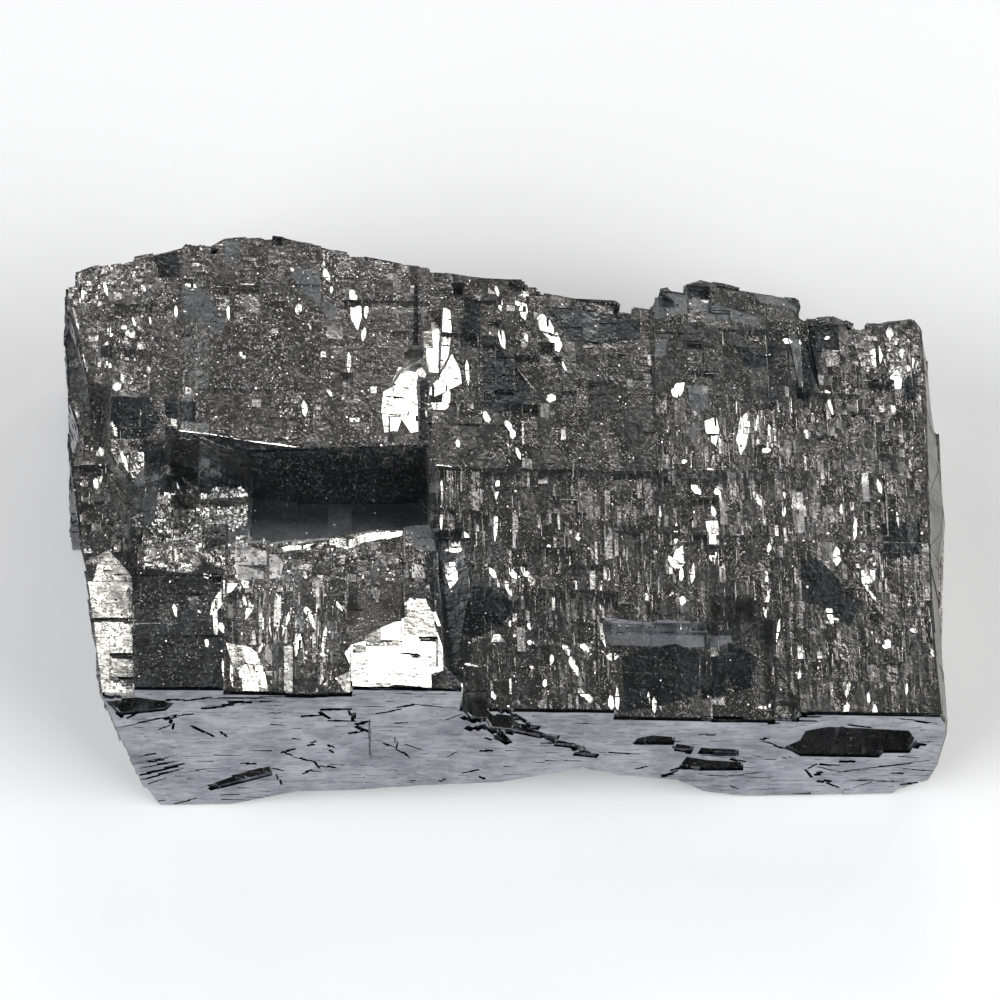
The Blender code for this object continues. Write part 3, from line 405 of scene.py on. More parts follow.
# Outlined parts of the terraces, by grain: u and v of one corner after the other.
PLACES = {
    # The pocket's floor, with painted shadow under its wall.
    PatchKind.POCKET: (
        (-26.2, 1.0, -18.3, 1.0, -18.3, -6.5, -26.2, -7.3),
        (-18.3, 1.0, -8.2, 1.0, -8.2, -4.9, -14.4, -5.6, -18.3, -6.5),
    ),
    PatchKind.GLOWING: (
        (-40.5, -7.1, -39.7, -6.6, -38.7, -7.9, -37.5, -9.3, -37.1, -11.0, -41.3, -11.0),
        (-41.3, -11.0, -37.1, -11.0, -37.0, -22.2, -41.1, -22.8, -42.3, -15.9, -42.2, -13.7),
    ),
    PatchKind.FLASHING: (
        (-16.4, 20.8, -16.1, 21.2, -15.2, 19.6, -15.2, 17.7, -15.6, 16.0, -16.2, 17.5),
        (-8.2, 18.7, -6.8, 19.7, -6.3, 19.3, -6.2, 17.2, -6.4, 15.3, -8.0, 15.3),
        (-8.7, 15.3, -6.4, 15.6, -6.6, 14.0, -7.4, 12.2, -8.5, 12.1, -8.7, 13.7),
        (-11.6, 12.2, -9.6, 12.0, -9.8, 10.0, -11.5, 9.9, -12.2, 10.6),
        (-13.1, 9.2, -11.5, 10.4, -9.8, 10.2, -9.7, 7.2, -11.5, 6.7, -13.3, 6.7),
        (-13.3, 7.1, -11.1, 6.9, -11.7, 4.6, -13.0, 4.4), (-11.3, 7.2, -9.7, 7.4, -9.7, 4.6, -10.4, 4.4, -11.3, 6.0),
        (-7.4, 11.6, -6.2, 14.5, -5.5, 12.8, -5.3, 10.7, -6.5, 10.0),
        (-8.4, 10.2, -7.5, 11.5, -6.4, 10.5, -6.5, 8.2, -6.9, 7.6, -8.1, 7.6, -8.5, 9.1),
        (2.3, 18.7, 2.9, 19.3, 3.6, 18.4, 4.2, 16.8, 3.4, 16.3, 2.6, 17.2),
        (3.4, 16.6, 4.3, 17.0, 4.8, 15.6, 4.5, 14.7, 3.9, 14.9),
        (-7.1, -5.7, -5.8, -5.2, -4.9, -5.8, -4.3, -6.2, -5.4, -6.8, -6.6, -6.6),
        (-6.6, -6.6, -5.0, -6.6, -5.6, -7.5, -7.0, -7.1),
        (-7.1, -8.3, -5.9, -8.4, -5.8, -10.4, -6.5, -11.4, -6.9, -10.0),
        (16.8, 0.7, 17.8, 0.7, 18.1, -0.7, 18.0, -1.7, 17.5, -1.1, 16.9, -0.2),
        (18.5, -3.9, 19.7, -3.8, 19.6, -6.6, 19.2, -8.5, 18.8, -7.9, 18.6, -5.9),
        (15.4, -7.0, 16.1, -6.3, 16.3, -8.4, 15.6, -9.0, 15.0, -8.4),
        (8.0, -16.7, 9.0, -16.4, 9.8, -17.4, 9.2, -18.0, 8.4, -17.7),
        (15.4, 10.1, 16.0, 11.0, 16.8, 11.1, 16.6, 10.0, 16.1, 9.2, 15.6, 9.4),
        (18.6, 6.7, 19.8, 7.2, 20.0, 5.7, 19.6, 3.9, 19.1, 4.4, 18.7, 5.4),
        (22.1, 7.1, 23.0, 8.1, 23.1, 6.4, 22.6, 3.9, 22.0, 2.8, 21.7, 4.6),
        (35.8, 16.2, 36.7, 17.0, 37.0, 15.6, 36.5, 14.1, 35.9, 14.6),
        (37.6, 13.2, 38.4, 14.2, 38.8, 13.0, 38.6, 11.9, 38.0, 11.8),
        (33.3, -9.0, 34.2, -8.6, 34.9, -8.8, 34.8, -9.9, 34.1, -11.2, 33.6, -10.3),
        (29.6, -13.1, 30.5, -13.1, 30.6, -14.4, 30.5, -15.8, 30.2, -15.5, 30.0, -14.0),
        (-28.6, -11.9, -27.2, -12.1, -27.8, -13.0, -28.8, -13.2),
        (-29.0, -13.2, -28.1, -13.0, -28.5, -14.3, -29.2, -15.8, -29.8, -16.1, -29.6, -14.5),
        (-28.3, -18.5, -26.9, -19.0, -26.3, -20.8, -27.1, -21.9, -27.8, -20.4),
        (-27.3, -20.8, -26.1, -21.0, -25.3, -23.8, -25.1, -24.6, -26.4, -24.7),
        (-27.3, -19.0, -26.2, -18.9, -25.3, -19.8, -24.6, -21.5, -24.0, -25.2, -26.0, -25.2, -26.9, -22.0),
        (-22.9, -7.5, -22.1, -7.3, -21.2, -7.2, -19.6, -7.0, -21.0, -7.7, -22.7, -8.0),
        (-16.9, -7.6, -16.3, -6.4, -15.2, -6.0, -15.4, -7.1),
        (-15.8, -6.2, -13.8, -5.2, -12.3, -5.0, -13.0, -6.2, -15.4, -6.9),
        (-13.0, -5.1, -10.9, -4.7, -11.4, -5.8, -12.8, -6.2),
    ),
    PatchKind.BLAZING: (
        (-10.5, -14.0, -9.9, -13.1, -9.1, -13.2, -8.5, -15.1, -8.0, -17.9, -11.2, -17.9, -11.2, -15.4),
        (-14.9, -16.6, -12.1, -15.9, -11.0, -15.3, -8.0, -17.5, -7.4, -20.0, -14.9, -20.1),
        (-16.9, -19.6, -16.2, -18.5, -14.7, -18.0, -14.7, -20.6, -16.2, -21.5),
        (-16.2, -20.1, -7.4, -19.6, -7.0, -21.8, -8.8, -22.7, -11.7, -23.7, -16.2, -25.4, -16.9, -24.1),
    ),
    PatchKind.PALE: (
        (-27.6, -8.2, -25.6, -7.9, -23.4, -8.3, -22.7, -9.2, -23.0, -10.9, -27.2, -11.6),
    ),
    PatchKind.GLEAMING: (
        (-30.8, 0.2, -26.0, 0.2, -25.8, -2.5, -28.4, -3.4, -30.9, -2.7),
    ),
    PatchKind.GLITTERING: (
        (-37.1, -7.0, -30.4, -7.0, -30.3, -9.5, -31.6, -11.3, -34.4, -11.0, -36.9, -10.5),
        (-31.4, -1.3, -29.6, -1.0, -28.4, -3.0, -31.8, -3.4),
        (-30.4, -8.5, -27.8, -7.7, -24.5, -9.3, -24.4, -11.3, -27.0, -11.4, -30.2, -10.1),
        (32.6, -6.8, 34.2, -6.3, 35.1, -7.6, 34.8, -9.0, 33.1, -8.6),
        (33.9, 18.2, 36.1, 17.9, 36.6, 12.4, 34.9, 13.9), (37.3, 17.7, 40.7, 18.0, 40.5, 14.5, 37.6, 11.6),
        (-44.3, 21.1, -41.2, 23.5, -36.2, 23.6, -36.0, 20.3, -39.1, 19.1, -43.6, 18.4),
    ),
    PatchKind.SHADED: (
        (-34.4, 4.7, -28.0, 3.5, -28.0, 1.0, -34.4, 1.0), (-28.0, 3.5, -21.2, 2.5, -21.2, 1.0, -28.0, 1.0),
        (-3.2, 16.5, -1.4, 16.4, -1.2, 14.6, -1.3, 7.6, -3.1, 8.0),
        (-1.4, 14.8, 0.0, 13.1, 1.2, 11.4, 1.0, 7.9, -1.5, 7.6), (-6.1, 24.1, -4.9, 21.8, -5.1, 18.2, -5.7, 20.6),
        (-5.3, 21.1, -3.3, 20.5, -3.4, 15.3, -5.3, 15.3), (3.2, 20.0, 8.7, 19.7, 8.4, 15.9, 5.8, 16.1, 4.4, 17.8),
        (8.5, 19.6, 12.7, 18.8, 12.6, 16.5, 8.4, 15.8), (-9.9, 21.6, -9.5, 21.6, -9.6, 14.5, -10.1, 14.5),
        (-9.5, 10.9, -8.5, 11.2, -8.7, 8.1, -9.4, 7.5), (-9.5, 7.5, -8.2, 7.2, -8.5, 3.6, -9.6, 3.5),
        (-35.9, 24.3, -33.5, 24.9, -33.2, 21.8, -35.2, 21.8), (-40.9, 13.7, -39.8, 13.9, -39.7, 12.4, -40.8, 12.3),
        (-38.7, 13.6, -37.5, 13.6, -37.6, 12.5, -38.6, 12.5),
        (-39.8, 8.0, -36.1, 8.1, -34.9, 5.3, -35.9, 3.1, -39.9, 3.0, -40.4, 5.2),
        (-34.5, 7.9, -31.5, 7.7, -31.5, 5.4, -34.4, 5.6),
        (29.7, 19.6, 32.7, 19.2, 32.6, 16.1, 31.0, 16.3, 29.6, 16.9),
        (29.1, 16.9, 31.0, 16.3, 30.1, 12.2, 28.4, 9.3, 27.8, 11.0, 28.2, 13.7),
        (27.6, -8.0, 29.6, -7.9, 31.9, -10.7, 29.3, -12.9, 27.6, -12.3),
        (31.9, -10.7, 33.5, -12.2, 32.1, -15.0, 29.3, -12.9), (35.8, -3.3, 39.7, -3.3, 39.6, -7.1, 35.9, -7.5),
        (39.2, 14.1, 40.5, 13.9, 40.0, 10.7, 38.8, 10.6), (22.0, 15.5, 26.0, 15.6, 25.6, 13.6, 22.9, 13.1),
        (-6.6, -10.8, -2.7, -11.2, -0.2, -13.2, -1.8, -15.6, -4.7, -16.8, -6.8, -14.6),
        (-9.1, -8.2, -8.4, -8.9, -7.0, -16.8, -6.8, -19.5, -7.1, -19.4, -8.5, -12.9),
        (10.1, -17.1, 13.3, -16.4, 15.0, -15.8, 17.7, -17.0, 17.3, -22.2, 13.6, -22.9, 10.1, -24.1),
        (20.6, -15.6, 23.1, -17.2, 22.9, -20.5, 21.0, -21.1, 20.2, -18.5),
        (17.7, -17.3, 20.3, -16.9, 20.1, -21.1, 17.5, -22.2),
    ),
    PatchKind.MATTE: (
        (-33.1, 20.3, -31.2, 20.8, -30.2, 19.3, -29.4, 17.9, -30.7, 16.9, -32.9, 17.8),
        (-31.2, 17.2, -30.2, 18.6, -28.6, 16.8, -29.0, 15.5, -29.8, 15.6),
        (-22.0, 22.8, -19.5, 23.3, -19.1, 20.7, -20.1, 19.5, -21.5, 20.9),
        (-20.1, 21.3, -17.5, 18.6, -18.1, 17.2, -20.0, 19.5), (-28.9, 26.2, -27.3, 26.4, -27.5, 23.8, -28.7, 23.8),
        (14.0, 15.6, 15.3, 16.2, 15.0, 14.2, 14.0, 13.8), (17.1, 10.7, 19.1, 10.8, 19.0, 8.2, 18.0, 7.5, 17.2, 8.5),
        (17.0, 5.8, 18.2, 6.8, 18.1, 5.4, 17.1, 4.6), (13.9, 20.9, 18.8, 22.4, 18.8, 19.4, 14.1, 18.3),
        (18.9, 20.8, 24.4, 18.8, 24.2, 17.7, 18.8, 19.1),
        (24.0, 22.1, 26.3, 21.9, 28.2, 20.7, 28.5, 19.6, 24.7, 20.7),
        (-11.1, -4.8, -8.5, -4.4, -8.3, -7.6, -9.9, -7.6), (-8.4, -5.1, -7.6, -5.1, -7.6, -7.6, -8.3, -7.6),
        (-37.9, -2.7, -36.8, -0.9, -35.0, 0.2, -35.3, -3.2, -36.7, -4.9, -37.8, -5.5),
        (-30.4, -4.8, -26.0, -4.1, -25.8, -5.7, -30.3, -6.0),
    ),
    PatchKind.BLUISH: (
        (8.3, -14.4, 12.9, -14.5, 12.8, -16.3, 8.3, -16.1), (12.9, -14.5, 17.7, -14.7, 17.7, -16.3, 12.8, -16.3),
        (17.7, -14.7, 20.9, -14.9, 20.9, -15.7, 17.7, -16.3),
    ),
}

# Cracks and small pits of the front: both tips along u and w, and the width.
CRACKS = (
    (-41.0, 22.9, -39.8, 23.4, 0.8), (-39.6, 20.5, -35.4, 20.0, 2.6), (-39.2, 18.7, -36.8, 18.4, 1.6),
    (-38.7, 17.1, -38.0, 16.3, 1.0), (-37.5, 15.9, -36.5, 17.5, 0.5), (-34.2, 19.7, -32.1, 20.1, 0.5),
    (-32.1, 19.7, -29.5, 20.6, 0.6), (-29.5, 20.4, -24.0, 20.6, 0.5), (-24.0, 20.8, -16.9, 21.4, 0.8),
    (-30.2, 18.1, -28.3, 18.6, 0.8), (-28.4, 19.0, -25.9, 19.9, 1.2), (-26.4, 19.7, -23.5, 19.8, 0.4),
    (-33.9, 15.8, -33.0, 16.6, 0.8), (-33.3, 16.0, -33.3, 14.1, 0.8), (-33.0, 16.6, -31.4, 17.1, 0.5),
    (-38.3, 14.0, -32.5, 17.2, 0.3), (-34.4, 13.7, -33.5, 14.9, 0.3), (-31.5, 14.6, -29.8, 13.2, 0.7),
    (-29.9, 13.2, -29.1, 12.6, 0.6), (-28.7, 13.6, -28.0, 12.4, 0.6), (-24.1, 17.3, -23.0, 17.7, 0.4),
    (-23.7, 15.0, -22.7, 15.0, 0.6), (-20.8, 16.7, -19.1, 17.4, 0.8), (-19.3, 17.8, -18.2, 16.8, 0.8),
    (-19.0, 18.2, -16.3, 18.7, 1.0), (-18.1, 16.0, -16.0, 16.0, 0.6), (-16.3, 18.1, -15.7, 16.1, 1.0),
    (-15.7, 15.4, -14.5, 16.1, 1.2), (-15.6, 14.8, -14.2, 13.8, 1.2), (-16.1, 13.3, -15.0, 14.2, 0.6),
    (-14.4, 16.1, -14.0, 9.2, 0.3), (-21.6, 12.1, -20.9, 12.1, 0.4), (-20.1, 10.9, -19.4, 11.6, 0.8),
    (-18.2, 11.0, -17.6, 10.5, 0.6), (-18.1, 9.9, -17.5, 9.5, 0.6), (-22.7, 9.1, -21.4, 10.0, 0.6),
    (-22.5, 9.4, -21.5, 8.5, 0.5), (-21.3, 8.1, -19.4, 7.3, 0.7), (-19.5, 7.3, -18.8, 6.2, 0.6),
    (-19.0, 6.5, -17.4, 6.1, 0.6), (-20.4, 4.7, -19.6, 5.6, 0.6), (-19.7, 5.4, -18.8, 5.2, 0.4),
    (-26.5, 6.7, -25.3, 7.1, 0.8), (-29.5, 1.2, -28.0, 2.8, 2.0), (-28.3, 2.3, -26.6, 3.7, 1.8),
    (-26.8, 3.9, -24.8, 5.2, 1.6), (-25.0, 5.2, -23.9, 6.1, 0.8), (-23.9, 6.1, -22.5, 5.5, 0.4),
    (-22.9, 4.4, -22.5, 2.5, 0.5), (-28.5, -0.1, -26.8, 0.2, 0.3), (-36.5, 8.1, -34.9, 8.8, 0.6),
    (-36.3, 6.8, -33.2, 8.2, 0.3), (-35.4, 7.1, -34.2, 7.5, 0.6), (-36.3, 5.6, -32.9, 7.2, 0.4),
    (-36.1, 4.1, -33.9, 5.4, 0.8), (-34.4, 5.2, -32.3, 6.7, 1.0), (-36.3, 3.0, -32.4, 5.5, 0.4),
    (-35.4, 2.1, -33.9, 3.3, 0.3), (-31.5, 5.0, -29.7, 5.5, 0.3), (-34.9, -1.8, -33.9, -1.3, 0.4),
    (-32.9, -2.2, -30.9, -0.8, 0.5), (-13.6, 17.6, -11.5, 18.7, 0.6), (-11.7, 18.9, -10.2, 19.7, 0.8),
    (-10.2, 19.7, -7.9, 19.4, 0.4), (-11.9, 15.7, -10.8, 16.0, 0.6), (-11.7, 12.8, -11.5, 10.3, 0.3),
    (-13.4, 11.9, -11.7, 10.7, 0.4), (-11.5, 10.1, -10.1, 8.6, 0.5), (-10.5, 11.2, -9.0, 10.4, 0.4),
    (-6.5, 8.9, -5.7, 9.8, 0.4), (-6.9, 16.5, -5.7, 17.6, 0.4), (-5.6, 17.2, -3.7, 16.0, 1.6),
    (-5.0, 15.1, -3.7, 14.7, 1.6), (-4.0, 16.8, -3.0, 16.4, 0.8), (-3.4, 15.6, -2.2, 14.3, 1.2),
    (-2.4, 14.8, -0.5, 14.0, 1.6), (-3.0, 13.1, -1.6, 12.3, 0.6), (-1.9, 12.7, -0.7, 12.1, 1.2),
    (-3.4, 10.1, -2.2, 10.3, 0.8), (-4.0, 20.5, -2.5, 19.5, 1.0), (-2.5, 19.7, -0.8, 18.3, 1.6),
    (-1.0, 18.3, 1.0, 16.5, 1.2), (0.6, 16.5, 1.8, 15.3, 1.4), (-1.8, 20.4, -0.1, 19.8, 0.8),
    (-0.1, 19.4, 1.0, 18.8, 0.8), (1.8, 14.0, 3.3, 13.4, 1.0), (2.5, 11.7, 4.3, 12.0, 0.6),
    (3.0, 12.8, 6.2, 11.6, 1.6), (5.7, 11.6, 7.0, 9.9, 1.6), (-4.7, 5.3, -3.4, 6.2, 0.5),
    (-3.2, 4.5, -2.5, 4.1, 1.0), (-7.0, 3.8, -6.4, 3.8, 0.8), (-9.9, 3.5, -9.4, 3.5, 0.5),
    (8.8, 10.2, 12.0, 9.9, 0.4), (11.6, 12.2, 15.3, 12.7, 1.2), (12.0, 6.6, 13.2, 7.3, 0.4),
    (14.8, 5.2, 15.7, 5.7, 0.8), (7.4, 18.6, 9.3, 19.0, 0.8), (15.4, 11.4, 16.8, 11.5, 1.4),
    (16.7, 10.4, 17.1, 10.0, 0.8), (17.7, 14.0, 19.2, 14.3, 0.5), (18.4, 9.8, 21.5, 9.7, 0.5),
    (21.1, 9.0, 22.6, 8.6, 1.0), (14.9, 5.2, 16.4, 6.8, 1.0), (16.2, 6.8, 18.3, 7.7, 1.4),
    (18.1, 7.9, 21.1, 7.5, 1.2), (19.0, 5.5, 23.0, 5.4, 0.3), (22.4, 5.6, 24.3, 6.3, 0.4),
    (21.7, 3.2, 22.4, 2.6, 0.4), (19.0, 17.6, 21.9, 18.3, 3.2), (23.6, 13.4, 24.4, 13.4, 0.6),
    (23.8, 12.9, 26.5, 11.3, 0.4), (23.2, 9.9, 24.3, 9.5, 0.3), (26.3, 9.6, 27.1, 9.4, 0.4),
    (27.5, 13.0, 28.0, 13.7, 0.8), (28.3, 12.6, 28.8, 15.2, 1.0), (22.1, 17.9, 23.5, 18.4, 0.4),
    (23.3, 19.2, 26.9, 18.9, 1.4), (25.5, 18.0, 28.8, 18.5, 1.0), (24.0, 16.5, 25.0, 16.8, 0.6),
    (27.1, 17.2, 28.6, 17.3, 0.8), (29.2, 11.0, 31.0, 12.5, 2.4), (30.6, 13.1, 35.3, 13.7, 4.4),
    (35.4, 12.6, 39.8, 12.5, 3.2), (31.1, 16.1, 31.6, 16.1, 0.6), (32.0, 16.5, 33.9, 16.2, 0.8),
    (31.7, 15.1, 35.1, 15.1, 0.8), (28.2, 9.9, 29.3, 10.5, 0.5), (39.4, 13.2, 40.6, 13.2, 0.3),
    (36.7, 17.9, 40.1, 17.2, 0.4), (30.0, 8.2, 31.8, 8.2, 0.8), (32.0, 8.7, 33.4, 8.9, 0.8),
    (29.0, 7.1, 29.8, 8.2, 0.5), (29.9, 7.5, 32.2, 6.7, 0.4), (32.2, 6.5, 34.6, 7.2, 0.3),
    (34.1, 7.2, 39.6, 8.9, 0.4), (37.7, 9.9, 39.5, 9.7, 0.4), (29.8, 6.0, 30.5, 6.5, 1.2),
    (28.7, 6.7, 29.6, 5.4, 0.6), (30.3, 4.5, 31.5, 4.6, 1.0), (31.4, 4.1, 32.6, 3.3, 0.6),
    (32.9, 4.6, 36.4, 4.9, 0.3), (34.1, 3.3, 35.4, 4.4, 0.3), (37.4, 6.4, 38.5, 6.5, 0.6),
    (36.2, 4.5, 38.4, 4.7, 0.3), (38.5, 7.3, 41.1, 7.0, 0.4), (38.5, 4.1, 40.2, 4.6, 0.6),
)


def terrace_patches() -> tuple[Patch, ...]:
    """The bright, dark and dull patches of the terraces."""
    outlined = [Patch(tuple(zip(row[::2], row[1::2])), kind.value) for kind, rows in PLACES.items() for row in rows]
    leaves = [Patch(leaf((u0, v0), (u1, v1), width), PatchKind.FLASHING.value) for u0, v0, u1, v1, width in STREAKS]
    return tuple(leaves + outlined)


def front_patches() -> tuple[Patch, ...]:
    """The cracks and pits of the front."""
    return tuple(Patch(bar, None) for u0, w0, u1, w1, width in CRACKS for bar in bars((u0, w0), (u1, w1), width))


def bars(start: FlatPoint, end: FlatPoint, width: float) -> list[FlatOutline]:
    """The short overlapping bars that a ragged crack is made of.

    Args:
        start: One end of the crack.
        end: The other end.
        width: Its greatest width.

    Returns:
        The bars' outlines.
    """
    draw = random.Random(f"{start}{end}")
    count = max(2, round(math.dist(start, end) / BAR_LENGTH))
    outlines = []
    for number in range(count):
        first, last = number / count - BAR_OVERLAP, (number + 1) / count + BAR_OVERLAP
        first, last = first + draw.uniform(-0.1, 0.1), last + draw.uniform(-0.1, 0.1)
        swell = math.sin(math.pi * (number + 0.6) / (count + 0.2)) ** 0.6
        high = draw.uniform(*BAR_HALF) * width * swell
        low = draw.uniform(*BAR_HALF) * width * swell
        slant = draw.uniform(0.02, 0.3) / count
        mid = draw.uniform(-0.15, 0.15) * width + draw.uniform(-0.12, 0.12)
        lower = (first, mid - low * 0.4), (last - slant, mid - low)
        upper = (last, mid + high * 0.3), (first + slant, mid + high)
        outlines.append(tuple(beside(start, end, share, out) for share, out in lower + upper))
    return outlines


@dataclass(frozen=True)
class Pitch:
    """Height of a piece above the core, in mm, and its lean backward and to the right, in degrees."""

    lift: float
    back: float
    right: float


@dataclass
class Cell:
    """One cleavage facet: its outline on the core's skin and how far each corner rises above it.

    tilt is the slope of the fine steps that it carries: their facets lean back more than it does.
    """

    outline: Outline
    out: Vector
    rises: list[float]
    grain: Grain
    tilt: float = 0.0


def split(outline: Outline, normal: Point, along: Point, at: float) -> tuple[list[Outline], list[Outline]]:
    """Splits a flat outline with a plane.

    Args:
        outline: Corner points in order; the outline may be hollow at places.
        normal: The plane's normal.
        along: Direction of the cut within the outline.
        at: How far along its normal the plane lies.

    Returns:
        The outlines below the cut and those above it.
    """
    heights = [normal[0] * x + normal[1] * y + normal[2] * z - at for x, y, z in outline]
    ring: list[Point] = []
    sides: list[float] = []
    crossings: list[int] = []
    for start, end, low, high in zip(outline, outline[1:] + outline[:1], heights, heights[1:] + heights[:1]):
        ring.append(start)
        sides.append(low)
        if low * high < 0:
            share = low / (low - high)
            crossings.append(len(ring))
            ring.append(tuple(s + (e - s) * share for s, e in zip(start, end)))
            sides.append(0.0)
    if len(crossings) < 2 or len(crossings) % 2:
        return ([outline], []) if sum(heights) < 0 else ([], [outline])
    ordered = sorted(crossings, key=lambda i: sum(a * c for a, c in zip(along, ring[i])))
    partner: dict[int, int] = {}
    for first, second in zip(ordered[::2], ordered[1::2]):
        partner[first], partner[second] = second, first
    below: list[Outline] = []
    above: list[Outline] = []
    seen: set[int] = set()
    for begin in range(len(ring)):
        if begin in seen or begin in partner:
            continue
        loop: Outline = []
        place = begin
        while place not in seen:
            seen.add(place)
            loop.append(ring[place])
            place = (place + 1) % len(ring)
            while place in partner and len(loop) <= 2 * len(ring):
                loop.append(ring[place])
                loop.append(ring[partner[place]])
                place = (partner[place] + 1) % len(ring)
        side = below if sides[begin] < 0 else above
        if len(loop) >= 3:
            side.append(loop)
    return below, above


def cleaned(outline: Outline) -> Outline:
    """The outline without corner points that repeat the one before; empty for a mere sliver.

    Args:
        outline: Corner points in order.

    Returns:
        The corner points that stay.
    """
    kept = [p for p, before in zip(outline, outline[-1:] + outline[:-1]) if math.dist(p, before) > NEXT_TO]
    if len(kept) < 3:
        return []
    start = Vector(kept[0])
    doubled = sum(((Vector(p) - start).cross(Vector(q) - start) for p, q in zip(kept[1:], kept[2:])), Vector())
    return kept if doubled.length / 2 > SLIVER else []


def middle(outline: Outline) -> Vector:
    """Mean of the corner points."""
    return sum((Vector(p) for p in outline), Vector()) / len(outline)


def spread(outline: Outline, axis: int) -> tuple[float, float]:
    """Lowest and highest value of one coordinate."""
    values = [p[axis] for p in outline]
    return min(values), max(values)


@dataclass(frozen=True)
class Skin:
    """How one part of the skin breaks up: how high its facets start, how far neighbours differ, how widely
    they lean in degrees, and their usual size along u, v and w. Lengths are mm. On the terraces the grain
    says the rest.
    """

    start: float
    step: float = 0.0
    lean: float = 0.0
    size: Point = (0.0, 0.0, 0.0)


SKINS = {
    Facing.TERRACE: Skin(0.18),
    Facing.FRONT: Skin(0.36, 0.012, 0.6, (4.5, 2.0, 1.4)),
    Facing.SIDE: Skin(0.20, 0.05, 3.5, (1.6, 1.6, 0.9)),
    Facing.RIND: Skin(0.25, 0.02, 0.8, (3.0, 3.0, 3.0)),
}
WALL_CELL = 0.8  # usual height of a facet on the terraces' walls, mm


